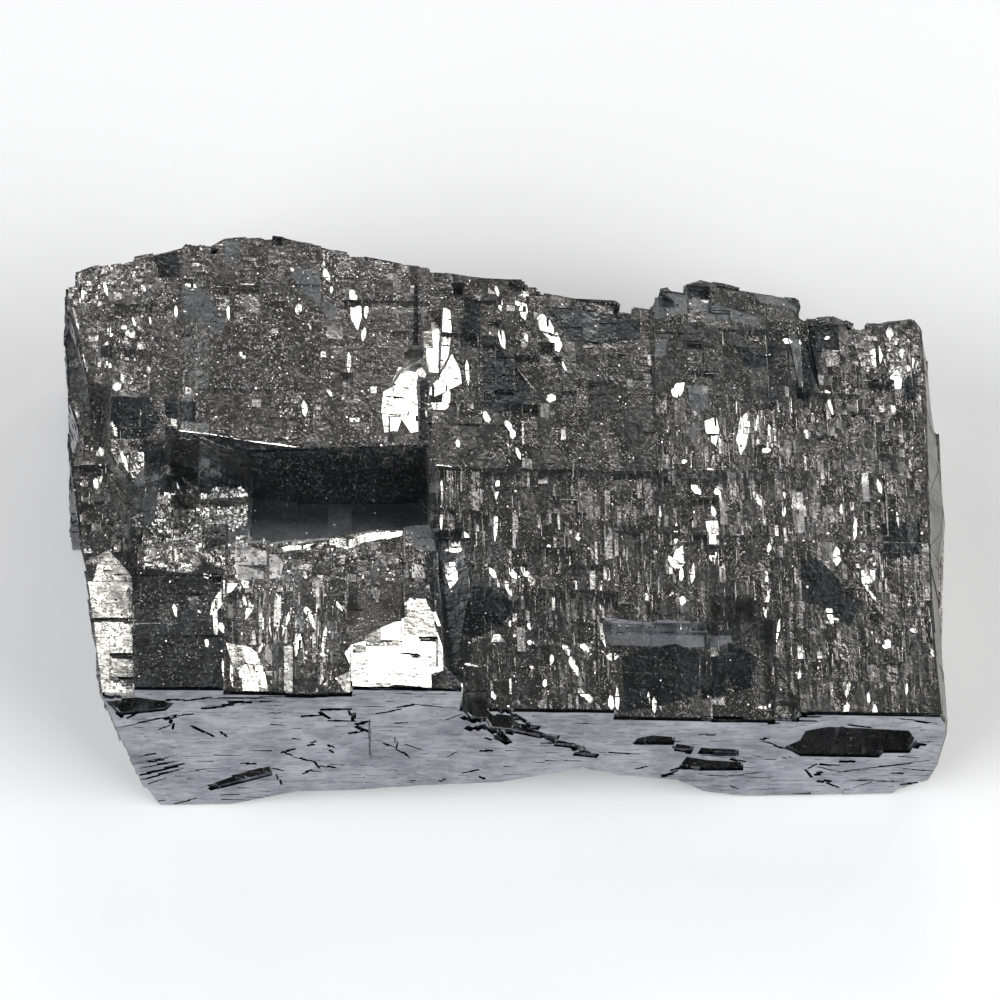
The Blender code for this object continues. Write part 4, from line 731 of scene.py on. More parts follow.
@dataclass
class Cleaver:
    """Breaks the core's flat faces into cleavage cells."""

    seed: int = 7
    patience: float = 2.8  # a piece may stay whole up to this many times its usual size
    calm: float = 0.45  # share of the cuts that leave both sides level
    wander: float = 0.7  # how far the border between two stretches wanders, mm
    level: float = 0.72  # how far up a face looks to be a terrace's top and not its wall
    finely: float = 0.6  # share of a bright facet's lean that lies in its fine steps
    grasp: float = 2.2  # a patch is cut out of pieces at most this many times its own size
    whole: float = 0.22  # chance that a piece stays whole while it is within the patience
    middling: FlatPoint = (0.32, 0.68)  # a cut lies between these shares of a piece
    flash_spread: FlatPoint = (1.3, 2.2)  # spread of the back and right lean of facets that mirror the key, degrees
    glint_spread: FlatPoint = (3.0, 2.5)  # the same for the strip light
    fill_spread: float = 5.0  # the same for the fills, both ways
    slopes: FlatPoint = (3.0, 25.0)  # a slope between these would mirror the key or the strip light, degrees
    levelled: FlatPoint = (2.0, 1.0)  # back and right lean that such a slope is given instead
    steepness: float = 0.04  # greatest height difference at a cut, as a share of the piece's size
    headroom: float = 0.10  # what a piece's height leaves for its lean, mm
    kept: float = 0.8  # share of the lean that a part keeps at a cut
    turned: float = 0.35  # share of the grain's spread of lean that a cut adds
    last_turned: float = 0.4  # the same for the finished facet
    random: random.Random = field(init=False)
    terrace_patches: tuple[tuple[Patch, Box], ...] = field(init=False)
    front_patches: tuple[tuple[Patch, Box], ...] = field(init=False)

    def __post_init__(self) -> None:
        """Starts the seeded draw and measures the patches."""
        self.random = random.Random(self.seed)
        self.terrace_patches = tuple((patch, patch.box()) for patch in terrace_patches())
        self.front_patches = tuple((patch, patch.box()) for patch in front_patches())

    def grain_at(self, facing: Facing, u: float, v: float) -> Grain:
        """The stretch of the terraces that a place lies in.

        Args:
            facing: Which part of the skin it is on.
            u: Where it is, mm.
            v: The same, towards the back.

        Returns:
            The stretch's grain, or the plain one off the terraces.
        """
        if facing is Facing.TERRACE:
            for grain in GRAINS.values():
                if grain.holds(u, v):
                    return grain
        return REST

    @staticmethod
    def usual_size(facing: Facing, grain: Grain) -> Point:
        """Usual size of a facet along u, v and w, in mm."""
        return (grain.cell, grain.cell * grain.stretch, WALL_CELL) if facing is Facing.TERRACE else SKINS[facing].size

    def patches_on(self, facing: Facing, out: Vector) -> tuple[tuple[tuple[Patch, Box], ...], tuple[int, int]]:
        """The patches that a face may hold.

        Args:
            facing: Which part of the skin it is on.
            out: Its outward normal.

        Returns:
            The patches, each with its box, and the two coordinates that they are drawn in.
        """
        if facing is Facing.TERRACE and out.z > self.level:
            return self.terrace_patches, (0, 1)
        if facing is Facing.FRONT and out.y < -self.level:
            return self.front_patches, (0, 2)
        return (), (0, 1)

    def cells(self, outline: Outline, out: Vector, facing: Facing) -> Iterator[Cell]:
        """Cleaves one flat face again and again until its pieces have their usual size.

        Args:
            outline: The face's corner points.
            out: Its outward normal.
            facing: Which part of the skin it is on.

        Yields:
            The facets that it breaks into.
        """
        normal_axis = max(range(3), key=lambda i: abs(out[i]))
        a, b = [i for i in range(3) if i != normal_axis]
        patches, plane = self.patches_on(facing, out)
        waiting: list[tuple] = [(outline, Pitch(SKINS[facing].start, 0.0, 0.0), patches, None)]
        while waiting:
            piece, pitch, near, held = waiting.pop()
            piece = cleaned(piece)
            if not piece:
                continue
            if near:
                left, right = spread(piece, plane[0])
                front, back = spread(piece, plane[1])
                near = tuple(
                    (patch, (x0, y0, x1, y1))
                    for patch, (x0, y0, x1, y1) in near
                    if x0 < right and x1 > left and y0 < back and y1 > front
                )
            if near:
                patch, (x0, y0, x1, y1) = near[0]
                ratios = {plane[0]: (right - left) / (x1 - x0), plane[1]: (back - front) / (y1 - y0)}
                widest = max(ratios, key=ratios.get)
                if ratios[widest] < self.grasp:
                    inside, outside = patch.cut(piece, plane)
                    waiting.extend((part, pitch, near[1:], None) for part in outside)
                    if patch.grain is not None:
                        waiting.extend((part, pitch, (), patch.grain) for part in inside)
                    continue
                grain = REST
            else:
                centre = middle(piece)
                stray = self.random.uniform(-self.wander, self.wander)
                grain = held or self.grain_at(facing, centre.x + stray, centre.y - stray)
                usual = self.usual_size(facing, grain)
                ratios = {}
                for axis in (a, b):
                    low, high = spread(piece, axis)
                    ratios[axis] = (high - low) / usual[axis]
                widest = max(ratios, key=ratios.get)
                size = ratios[widest]
                if size < 1.0 or (size < self.patience and self.random.random() < self.whole):
                    yield self.facet(piece, out, pitch, facing, grain, centre)
                    continue
            low, high = spread(piece, widest)
            at = low + (high - low) * self.random.uniform(*self.middling)
            normal, along = AXES[widest], AXES[b if widest == a else a]
            below, above = split(piece, normal, along, at)
            if not above or not below:
                yield self.facet(piece, out, pitch, facing, grain, middle(piece))
                continue
            for side in (below, above):
                turned = self.changed(pitch, facing, grain, high - low)
                waiting.extend((part, turned, near, held) for part in side)

    def changed(self, pitch: Pitch, facing: Facing, grain: Grain, size: float) -> Pitch:
        """Height and lean of one side of a cut.

        Args:
            pitch: What the whole piece had.
            facing: Which part of the skin it is on.
            grain: The stretch of the terraces it lies in.
            size: The piece's size across the cut, mm.

        Returns:
            What this side has.
        """
        draw = self.random
        step = min(grain.lift if facing is Facing.TERRACE else SKINS[facing].step, self.steepness * size)
        share = 0.0 if draw.random() < self.calm else 1.0
        lift = pitch.lift + share * draw.uniform(-step, step)
        lean, roll = (grain.lean, grain.roll) if facing is Facing.TERRACE else (0.5, 0.5)
        return Pitch(
            min(max(lift, LEAST_RISE), MOST_RISE - self.headroom),
            self.kept * pitch.back + draw.gauss(0, lean) * self.turned,
            self.kept * pitch.right + draw.gauss(0, roll) * self.turned,
        )

    def facet(self, piece: Outline, out: Vector, pitch: Pitch, facing: Facing, grain: Grain, centre: Vector) -> Cell:
        """Gives a piece its height and lean.

        Args:
            piece: Its corner points.
            out: The face's outward normal.
            pitch: Its height above the core and its lean before the last touch.
            facing: Which part of the skin it is on.
            grain: The grain of the stretch or patch it lies in.
            centre: Its middle.

        Returns:
            The finished facet.
        """
        draw = self.random
        back = pitch.back + draw.gauss(0, grain.lean) * self.last_turned
        right = pitch.right + draw.gauss(0, grain.roll) * self.last_turned
        chance = draw.random()
        tilt = 0.0
        fixed_back, fixed_right = math.degrees(math.asin(out.y)), math.degrees(math.asin(out.x))
        if facing is not Facing.TERRACE:
            back, right = draw.gauss(0, SKINS[facing].lean), draw.gauss(0, SKINS[facing].lean)
        elif grain.bow and chance < grain.flash + grain.glint:
            side = draw.choice((-1.0, 1.0))
            back = draw.gauss(-FILL_LEANS[0], self.fill_spread) - fixed_back
            right = side * draw.gauss(FILL_LEANS[1], self.fill_spread) - fixed_right
            tilt = math.degrees(math.atan(grain.bow))
        elif chance < grain.flash:
            back = FLASH_LEAN + draw.gauss(0, self.flash_spread[0]) - fixed_back
            right = draw.gauss(0, self.flash_spread[1]) - fixed_right
            tilt = back * self.finely
            back -= tilt
        elif chance < grain.flash + grain.glint:
            back = draw.gauss(0, self.glint_spread[0]) - fixed_back
            right = SIDE_LEAN + draw.gauss(0, self.glint_spread[1]) - fixed_right
        elif not grain.leans:
            if self.slopes[0] < fixed_back < self.slopes[1]:
                back += self.levelled[0] - fixed_back
            if self.slopes[0] < fixed_right < self.slopes[1]:
                right += self.levelled[1] - fixed_right
        if facing is Facing.TERRACE and out.z > self.level:
            slope = Vector((-math.tan(math.radians(right)), -math.tan(math.radians(back)), 0.0))
        elif facing is Facing.TERRACE:
            slope = Vector()
        else:
            across = out.orthogonal().normalized()
            slope = across * math.tan(math.radians(back)) + out.cross(across) * math.tan(math.radians(right))
        rises = [pitch.lift + slope.dot(Vector(p) - centre) for p in piece]
        lowest, highest = min(rises), max(rises)
        shift = max(LEAST_RISE - lowest, 0.0)
        if highest + shift > MOST_RISE:
            squeeze = min(1.0, (MOST_RISE - LEAST_RISE) / max(highest - lowest, 1e-6))
            mean = sum(rises) / len(rises)
            rises = [mean + (r - mean) * squeeze for r in rises]
            shift = LEAST_RISE - min(rises) if min(rises) < LEAST_RISE else MOST_RISE - max(rises)
        return Cell(piece, out, [r + shift for r in rises], grain, math.tan(math.radians(tilt)) - grain.bow)


# -------------------- meshes


def mesh_from_bmesh(name: str, source: BMesh) -> Object:
    """Makes an object of a bmesh, which is freed.

    Args:
        name: Name of the object and its mesh.
        source: The bmesh.

    Returns:
        The object, linked to the scene.
    """
    mesh = bpy.data.meshes.new(name)
    source.to_mesh(mesh)
    source.free()
    return link(bpy.data.objects.new(name, mesh))


def link(item: Object) -> Object:
    """Links an object to the scene and returns it."""
    bpy.context.scene.collection.objects.link(item)
    return item


def laid_out(name: str, points: list[Vector], faces: list[Iterable[int]]) -> Object:
    """Makes an object of points and faces.

    Args:
        name: The object's name.
        points: The points in the row frame.
        faces: For each face, the numbers of its corner points.

    Returns:
        The object, linked to the scene.
    """
    mesh = bpy.data.meshes.new(name)
    mesh.from_pydata(points, [], faces)
    return link(bpy.data.objects.new(name, mesh))


def store(item: Object, name: str, values: list, domain: str, kind: str = "FLOAT") -> None:
    """Gives an object's mesh an attribute with a value for each point or face."""
    key = "vector" if kind == "FLOAT_VECTOR" else "value"
    item.data.attributes.new(name, kind, domain).data.foreach_set(key, values)


def node_input(modifier: Modifier, name: str, value: object) -> None:
    """Sets one of a Geometry Nodes modifier's inputs by its socket's identifier.

    Args:
        modifier: The modifier.
        name: The input's name.
        value: What it is set to.
    """
    for item in modifier.node_group.interface.items_tree:
        if item.item_type == "SOCKET" and item.in_out == "INPUT" and item.name == name:
            modifier[item.identifier] = value
            return
    raise KeyError(name)


def grow(
    name: str, seed_mesh: Object, tree: NodeTree, inputs: dict[str, object]
) -> Object:
    """Runs a Geometry Nodes tree on an object and keeps its result as a plain mesh.

    Args:
        name: Name of the finished piece.
        seed_mesh: The object that the tree starts from, which is removed.
        tree: The Geometry Nodes tree.
        inputs: Values of its named inputs.

    Returns:
        The finished piece, at the origin.
    """
    modifier = seed_mesh.modifiers.new(tree.name, "NODES")
    modifier.node_group = tree
    for key, value in inputs.items():
        node_input(modifier, key, value)
    graph = bpy.context.evaluated_depsgraph_get()
    mesh = bpy.data.meshes.new_from_object(seed_mesh.evaluated_get(graph))
    seed_mesh.modifiers.remove(modifier)
    piece = link(bpy.data.objects.new(name, mesh))
    mesh.name = name
    bpy.data.objects.remove(seed_mesh)
    return piece


class TreeBuilder:
    """Short calls for building a node tree."""

    def __init__(self, tree: NodeTree) -> None:
        """Keeps the tree that is built."""
        self.tree = tree

    def node(self, kind: str, values: dict[str, object] | None = None, **settings: object) -> Node:
        """Adds a node.

        Args:
            kind: The node's type name.
            values: What its input sockets are set to, or the sockets that feed them, by name or index.
            **settings: The node's own properties.

        Returns:
            The node.
        """
        made = self.tree.nodes.new(kind)
        for key, value in settings.items():
            setattr(made, key, value)
        for key, value in (values or {}).items():
            self.feed(made.inputs[key], value)
        return made

    def feed(self, socket: NodeSocket, value: object) -> None:
        """Sets an input's value, or links it when the value is a socket.

        Args:
            socket: The input.
            value: A value, or the socket that feeds it.
        """
        if isinstance(value, NodeSocket):
            self.tree.links.new(value, socket)
        else:
            socket.default_value = value

    def math(self, operation: str, first: object, second: object = 0.0, third: object = 0.0) -> NodeSocket:
        """A Math node's result."""
        made = self.node("ShaderNodeMath", {0: first, 1: second, 2: third}, operation=operation)
        return made.outputs[0]

    def vector_math(self, operation: str, first: object, second: object) -> NodeSocket:
        """A Vector Math node's result."""
        made = self.node("ShaderNodeVectorMath", {0: first, 1: second}, operation=operation)
        return made.outputs["Value" if operation == "DOT_PRODUCT" else "Vector"]

    def scaled(self, vector: object, scale: object) -> NodeSocket:
        """A vector times a number."""
        return self.node("ShaderNodeVectorMath", {0: vector, "Scale": scale}, operation="SCALE").outputs[0]

    def part(self, vector: object, axis: str) -> NodeSocket:
        """The "X", "Y" or "Z" of a vector."""
        return self.node("ShaderNodeSeparateXYZ", {0: vector}).outputs[axis]

    def mapped(
        self, value: object, start: object, end: object, low: object = 0.0, high: object = 1.0, smooth: bool = False
    ) -> NodeSocket:
        """Puts a value that runs from one number to another on a new scale.

        Args:
            value: The value.
            start: What it is at the scale's low end.
            end: What it is at the high end.
            low: The scale's low end.
            high: Its high end.
            smooth: Whether it eases in and out.

        Returns:
            The place on the scale, which doesn't leave its ends.
        """
        values = {"Value": value, "From Min": start, "From Max": end, "To Min": low, "To Max": high}
        kind = "SMOOTHSTEP" if smooth else "LINEAR"
        return self.node("ShaderNodeMapRange", values, interpolation_type=kind).outputs[0]

    def noise(self, vector: object, scale: object, detail: float, roughness: float = 0.5) -> NodeSocket:
        """A soft noise, about 0.5 in the mean."""
        values = {"Vector": vector, "Scale": scale, "Detail": detail, "Roughness": roughness}
        return self.node("ShaderNodeTexNoise", values).outputs[0]

    def mixed(self, share: object, first: object, second: object) -> NodeSocket:
        """Mixes two colours, each a socket or its red, green and blue.

        Args:
            share: How much of the second shows.
            first: The first colour.
            second: The second.

        Returns:
            The mix.
        """
        made = self.node("ShaderNodeMix", {"Factor": share}, data_type="RGBA", clamp_factor=True)
        for socket, colour in zip(made.inputs[6:8], (first, second)):
            self.feed(socket, colour if isinstance(colour, NodeSocket) else (*colour, 1.0))
        return made.outputs[2]

    def stored(self, name: str, kind: str = "FLOAT") -> NodeSocket:
        """An attribute of the mesh, in a geometry tree."""
        return self.node("GeometryNodeInputNamedAttribute", {"Name": name}, data_type=kind).outputs[0]

    def carried(self, name: str) -> NodeSocket:
        """A number that the mesh carries, in a material."""
        return self.node("ShaderNodeAttribute", attribute_type="GEOMETRY", attribute_name=name).outputs["Fac"]

    def group(self, tree: NodeTree, **values: object) -> NodeOutputs:
        """What comes out of a group that is placed here with these inputs."""
        return self.node("ShaderNodeGroup", values, node_tree=tree).outputs

    def ended(self, **values: object) -> NodeTree:
        """Ends a group with these outputs."""
        self.node("NodeGroupOutput", values)
        return self.tree

    def standing(self, kind: str) -> Node:
        """The node of a kind that a new tree already holds."""
        return next(node for node in self.tree.nodes if node.type == kind)

    def dressed(self, geometry: object, material: object) -> NodeTree:
        """Ends a geometry tree.

        Args:
            geometry: What it has built.
            material: The material that it puts on it.

        Returns:
            The tree, whose instances are made real.
        """
        real = self.node("GeometryNodeRealizeInstances", {"Geometry": geometry}).outputs[0]
        return self.ended(
            Geometry=self.node("GeometryNodeSetMaterial", {"Geometry": real, "Material": material}).outputs[0]
        )


def new_tree(
    name: str, kind: str, inputs: Iterable[tuple[str, str, object]], outputs: Iterable[tuple[str, str]]
) -> tuple[TreeBuilder, NodeOutputs]:
    """Starts a node group with named inputs and outputs.

    Args:
        name: The group's name.
        kind: "Geometry" or "Shader".
        inputs: Name, kind of socket and first value of each input.
        outputs: Name and kind of socket of each output.

    Returns:
        A builder on the new tree, and what comes in by its inputs.
    """
    tree = bpy.data.node_groups.new(name, f"{kind}NodeTree")
    for label, socket_kind, value in inputs:
        socket = tree.interface.new_socket(label, in_out="INPUT", socket_type=f"NodeSocket{socket_kind}")
        if value is not None:
            socket.default_value = value
    for label, socket_kind in outputs:
        tree.interface.new_socket(label, in_out="OUTPUT", socket_type=f"NodeSocket{socket_kind}")
    build = TreeBuilder(tree)
    return build, build.node("NodeGroupInput").outputs


def raise_cells_tree() -> NodeTree:
    """Tree that raises each cleavage cell from its root in the core to its own leaning facet."""
    build, entry = new_tree(
        "raise_cells",
        "Geometry",
        [("Geometry", "Geometry", None), ("Root Depth", "Float", ROOT_DEPTH * MM), ("Material", "Material", None)],
        [("Geometry", "Geometry")],
    )
    out, depth = build.stored("out", "FLOAT_VECTOR"), entry["Root Depth"]
    sink = build.scaled(out, build.math("MULTIPLY", depth, -1.0))
    sunk = build.node("GeometryNodeSetPosition", {"Geometry": entry["Geometry"], "Offset": sink}).outputs[0]
    upper = build.stored("upper", "BOOLEAN")
    column = build.node(
        "GeometryNodeExtrudeMesh",
        {"Mesh": sunk, "Selection": upper, "Offset": out, "Offset Scale": depth, "Individual": True},
        mode="FACES",
    )
    lifted = build.scaled(out, build.stored("rise"))
    shaped = build.node(
        "GeometryNodeSetPosition",
        {"Geometry": column.outputs["Mesh"], "Selection": column.outputs["Top"], "Offset": lifted},
    )
    marked = build.node(
        "GeometryNodeStoreNamedAttribute",
        {"Geometry": shaped.outputs[0], "Selection": column.outputs["Side"], "Name": "wall", "Value": 1.0},
        data_type="FLOAT",
        domain="FACE",
    )
    return build.dressed(marked.outputs[0], entry["Material"])


def scatter_tree(name: str, along: bool) -> NodeTree:
    """Tree that strews small closed shapes over a surface.

    Args:
        name: The tree's name.
        along: True for splinters that lie along the crystal's v axis, False for crumbs that lie anyhow.

    Returns:
        The tree.
    """
    build, entry = new_tree(
        name,
        "Geometry",
        [
            ("Geometry", "Geometry", None), ("Shape", "Object", None), ("Smallest", "Vector", (0.1, 0.1, 0.1)),
            ("Largest", "Vector", (0.3, 0.3, 0.3)), ("Turn", "Vector", (0.0, 0.0, 0.0)),
            ("Spread", "Vector", (0.0, 0.0, 0.0)), ("Seed", "Int", 0), ("Material", "Material", None),
        ],
        [("Geometry", "Geometry")],
    )
    points = build.node(
        "GeometryNodeDistributePointsOnFaces",
        {"Mesh": entry["Geometry"], "Density": build.stored("density"), "Seed": entry["Seed"]},
        distribute_method="RANDOM",
    ).outputs
    sizes = {0: entry["Smallest"], 1: entry["Largest"], "Seed": entry["Seed"]}
    scale = build.node("FunctionNodeRandomValue", sizes, data_type="FLOAT_VECTOR").outputs[0]
    turns = {
        0: build.vector_math("SUBTRACT", entry["Turn"], entry["Spread"]),
        1: build.vector_math("ADD", entry["Turn"], entry["Spread"]),
        "Seed": build.math("ADD", entry["Seed"], 11.0),
    }
    turn = build.node("FunctionNodeRandomValue", turns, data_type="FLOAT_VECTOR").outputs[0]
    if not along:
        lie = {"Rotation": points["Rotation"], "Rotate By": turn}
        turn = build.node("FunctionNodeRotateEuler", lie, space="LOCAL").outputs[0]
    shape = build.node("GeometryNodeObjectInfo", {"Object": entry["Shape"]}, transform_space="ORIGINAL")
    placed = build.node(
        "GeometryNodeInstanceOnPoints",
        {"Points": points["Points"], "Instance": shape.outputs["Geometry"], "Rotation": turn, "Scale": scale},
    )
    return build.dressed(placed.outputs[0], entry["Material"])


# -------------------- finishes

BENT = 9.0  # within this distance of u = 0 the front's layers fall to the right, mm
MIDDLE_FALL = 0.42  # how steeply they fall there
LEFT_RISE = 0.15  # how steeply they rise towards that stretch on its left


class ShaderEffects:
    """The shader node groups that the finishes share. Each is built once."""

    def __init__(self) -> None:
        """Builds the groups."""
        self.facets = self.facet_group()
        self.flutes = self.flute_group()
        self.contours = self.contour_group()
        self.laminae = self.lamina_group()

    @staticmethod
    def facet_group() -> NodeTree:
        """Small facets that stand out, each with its own lean. Height in mm for coordinates in mm."""
        build, entry = new_tree(
            "facet_grain",
            "Shader",
            [
                ("Vector", "Vector", None), ("Cell", "Vector", (0.3, 0.3, 0.3)), ("Slope", "Float", 0.5),
                ("Share", "Float", 0.5),
            ],
            [("Height", "Float"), ("Tone", "Float")],
        )
        place = build.vector_math("DIVIDE", entry["Vector"], entry["Cell"])
        kind = {"voronoi_dimensions": "3D", "feature": "F1", "distance": "CHEBYCHEV"}
        cell = build.node("ShaderNodeTexVoronoi", {"Vector": place, "Scale": 1.0}, **kind).outputs
        offset = build.vector_math("MULTIPLY", build.vector_math("SUBTRACT", place, cell["Position"]), entry["Cell"])
        lean = build.vector_math("SUBTRACT", cell["Color"], (0.5, 0.5, 0.5))
        tone = build.part(cell["Color"], "Z")
        loud = build.mapped(tone, build.math("SUBTRACT", 1.0, entry["Share"]), 1.0, high=entry["Slope"])
        window = build.mapped(cell["Distance"], 0.48, 0.26, smooth=True)
        plane = build.vector_math("DOT_PRODUCT", offset, lean)
        height = build.math("MULTIPLY", plane, build.math("MULTIPLY", loud, window))
        return build.ended(Height=height, Tone=tone)

    @staticmethod
    def flute_group() -> NodeTree:
        """Fine flutes that run along v. Height in mm for coordinates in mm."""
        build, entry = new_tree(
            "flutes",
            "Shader",
            [("Vector", "Vector", None), ("Stretch", "Vector", (5.0, 0.12, 0.5)), ("Depth", "Float", 0.02)],
            [("Height", "Float")],
        )
        noise = build.noise(build.vector_math("MULTIPLY", entry["Vector"], entry["Stretch"]), 1.0, 2.5, 0.6)
        height = build.math("MULTIPLY", noise, entry["Depth"])
        return build.ended(Height=height)

    @staticmethod
    def contour_group() -> NodeTree:
        """Low terraces with wandering edges, like the contour lines of a map."""
        build, entry = new_tree(
            "contours",
            "Shader",
            [
                ("Vector", "Vector", None), ("Scale", "Float", 0.4), ("Stretch", "Vector", (1.0, 1.0, 1.0)),
                ("Levels", "Float", 14.0), ("Depth", "Float", 0.02),
            ],
            [("Height", "Float")],
        )
        noise = build.noise(build.vector_math("MULTIPLY", entry["Vector"], entry["Stretch"]), entry["Scale"], 3.0)
        level = build.math("FLOOR", build.math("MULTIPLY", noise, entry["Levels"]))
        return build.ended(Height=build.math("MULTIPLY", level, entry["Depth"]))

    @staticmethod
    def lamina_group() -> NodeTree:
        """Broken dark lines where the layers end, stacked up w. Coordinates and pitch in mm.

        The layers fall to the right within BENT of u = 0 and rise gently towards that stretch on its left.
        """
        build, entry = new_tree(
            "lamina_lines",
            "Shader",
            [("Vector", "Vector", None), ("Pitch", "Float", 0.8), ("Wander", "Float", 3.0)],
            [("Line", "Float")],
        )
        spot = entry["Vector"]
        u = build.part(spot, "X")
        leftward = build.math("MINIMUM", build.math("ADD", u, BENT), 0.0)
        midway = build.math("MINIMUM", build.math("MAXIMUM", u, -BENT), BENT)
        sag = build.math("MULTIPLY_ADD", leftward, -LEFT_RISE, build.math("MULTIPLY", midway, MIDDLE_FALL))
        height = build.math("DIVIDE", build.math("ADD", build.part(spot, "Z"), sag), entry["Pitch"])
        bend = build.noise(build.vector_math("MULTIPLY", spot, (0.10, 0.10, 0.22)), 1.0, 5.0, 0.62)
        layer = build.math("FRACT", build.math("MULTIPLY_ADD", bend, entry["Wander"], height))
        gaps = build.noise(build.vector_math("MULTIPLY", spot, (0.45, 0.45, 1.3)), 1.0, 3.0, 0.7)
        edge, broken = build.mapped(layer, 0.84, 0.92), build.mapped(gaps, 0.53, 0.58)
        return build.ended(Line=build.math("MULTIPLY", edge, broken))


@dataclass(frozen=True)
class GalenaFinish:
    """One finish of the lead-grey metal.

    dark and light are the ends of its colour; smooth and dull the ends of its roughness; facet the size of
    its smallest facets, slope how far the loudest of them lean and share how many lean at all; swell and
    swell_size the height and width of soft swells; flute_depth the height of the flutes and flutes how many
    cross a millimetre each way; contour_depth and contour_stretch the same for low terraces; patch_scale how
    many mottles cross a millimetre; lamina the spacing of the layers' dark edges and lines how strong those
    are; walls how far painted shade darkens the facets' own small walls; grime the colour of cracks and the
    layers' dark edges, and of painted shade in hollows and wherever a cell's shade asks for it; haze the
    blue-grey tint of dull, tarnished places, part of it a painted reflection of the bluish surroundings, and
    haziness how much of it they show; reads_cells whether the cells carry LOOKS.
    Lengths are mm.
    """

    name: str
    dark: Point
    light: Point
    smooth: float
    dull: float
    facet: Point = (0.17, 0.22, 0.20)
    slope: float = 1.1
    share: float = 0.40
    swell: float = 0.045
    swell_size: float = 0.5
    flute_depth: float = 0.012
    flutes: Point = (5.0, 0.12, 0.5)
    contour_depth: float = 0.012
    contour_stretch: Point = (1.0, 1.0, 1.0)
    patch_scale: float = 0.22
    lamina: float = 0.8
    lines: float = 0.0
    walls: float = 0.0
    crack_and_shade: Point = (0.040, 0.048, 0.062)
    tarnish_and_reflection: Point = (0.34, 0.38, 0.46)
    haziness: float = 0.5
    reads_cells: bool = False

    def material(self, effects: ShaderEffects, axes: CrystalAxes) -> Material:
        """Builds the material.

        Args:
            effects: The shared shader groups.
            axes: The crystal's axes, which the patterns follow.

        Returns:
            The material.
        """
        made = bpy.data.materials.new(self.name)
        made.use_nodes = True
        build = TreeBuilder(made.node_tree)
        spot = build.node(
            "ShaderNodeMapping",
            {
                "Vector": build.node("ShaderNodeTexCoord").outputs["Object"],
                "Location": Vector(axes.origin) * MM,
                "Rotation": axes.rotation().to_euler(),
                "Scale": (MM, MM, MM),
            },
            vector_type="TEXTURE",
        ).outputs[0]
        plain = zip(LOOKS, (1.0, 0.6, 0.0, 0.0))
        fluted, sparkle, shade, matte = (build.carried(k) if self.reads_cells else v for k, v in plain)

        share = build.math("MULTIPLY", build.math("MAXIMUM", sparkle, 1.0), self.share)
        facets = build.group(effects.facets, Vector=spot, Cell=self.facet, Slope=self.slope, Share=share)
        height = build.math("MULTIPLY", facets["Height"], sparkle)
        calm = build.math("MINIMUM", build.math("MULTIPLY_ADD", matte, 2.0, 1.0), 1.0)
        swell = build.noise(spot, 1.0 / self.swell_size, 1.5)
        height = build.math("MULTIPLY_ADD", swell, build.math("MULTIPLY", calm, self.swell), height)
        if self.flute_depth:
            depth = build.math("MULTIPLY", fluted, self.flute_depth)
            flutes = build.group(effects.flutes, Vector=spot, Stretch=self.flutes, Depth=depth)
            height = build.math("ADD", height, flutes["Height"])
        if self.contour_depth:
            stretch, depth = self.contour_stretch, self.contour_depth
            contours = build.group(effects.contours, Vector=spot, Stretch=stretch, Depth=depth)
            height = build.math("ADD", height, contours["Height"])
        if self.reads_cells:
            fall = build.math("MULTIPLY", build.part(spot, "Y"), build.carried("tilt"))
            height = build.math("SUBTRACT", height, fall)
        bump = build.node("ShaderNodeBump", {"Height": height, "Distance": MM, "Strength": 1.0}).outputs[0]

        mottle = build.mapped(build.noise(spot, self.patch_scale, 4.0, 0.68), 0.36, 0.64)
        paleness = build.math("MULTIPLY_ADD", facets["Tone"], 0.35, build.math("MULTIPLY", mottle, 0.65))
        metal = build.mixed(paleness, self.dark, self.light)
        # Dull places are tinted blue-grey: partly tarnish, partly a painted reflection of the bluish surroundings.
        metal = build.mixed(build.math("MULTIPLY", matte, self.haziness), metal, self.tarnish_and_reflection)
        # Painted shade: the cells' shade darkens the colour towards the dark of shaded hollows.
        crack_and_shade = build.math("MULTIPLY", shade, 0.8)
        if self.lines:
            laminae = build.group(effects.laminae, Vector=spot, Pitch=self.lamina)
            crack_and_shade = build.math("MAXIMUM", build.math("MULTIPLY", laminae["Line"], self.lines), crack_and_shade)
        # Painted shade on the facets' own small walls, the creases between the cells.
        if self.walls:
            crack_and_shade = build.math("MAXIMUM", build.math("MULTIPLY", build.carried("wall"), self.walls), crack_and_shade)
        rough = build.mapped(mottle, 0.0, 1.0, self.dull, self.smooth)
        shader = build.standing("BSDF_PRINCIPLED").inputs
        build.feed(shader["Base Color"], build.mixed(crack_and_shade, metal, self.crack_and_shade))
        build.feed(shader["Roughness"], build.math("MULTIPLY_ADD", matte, 0.33, rough))
        build.feed(shader["Metallic"], 1.0)
        build.feed(shader["Normal"], bump)
        return made


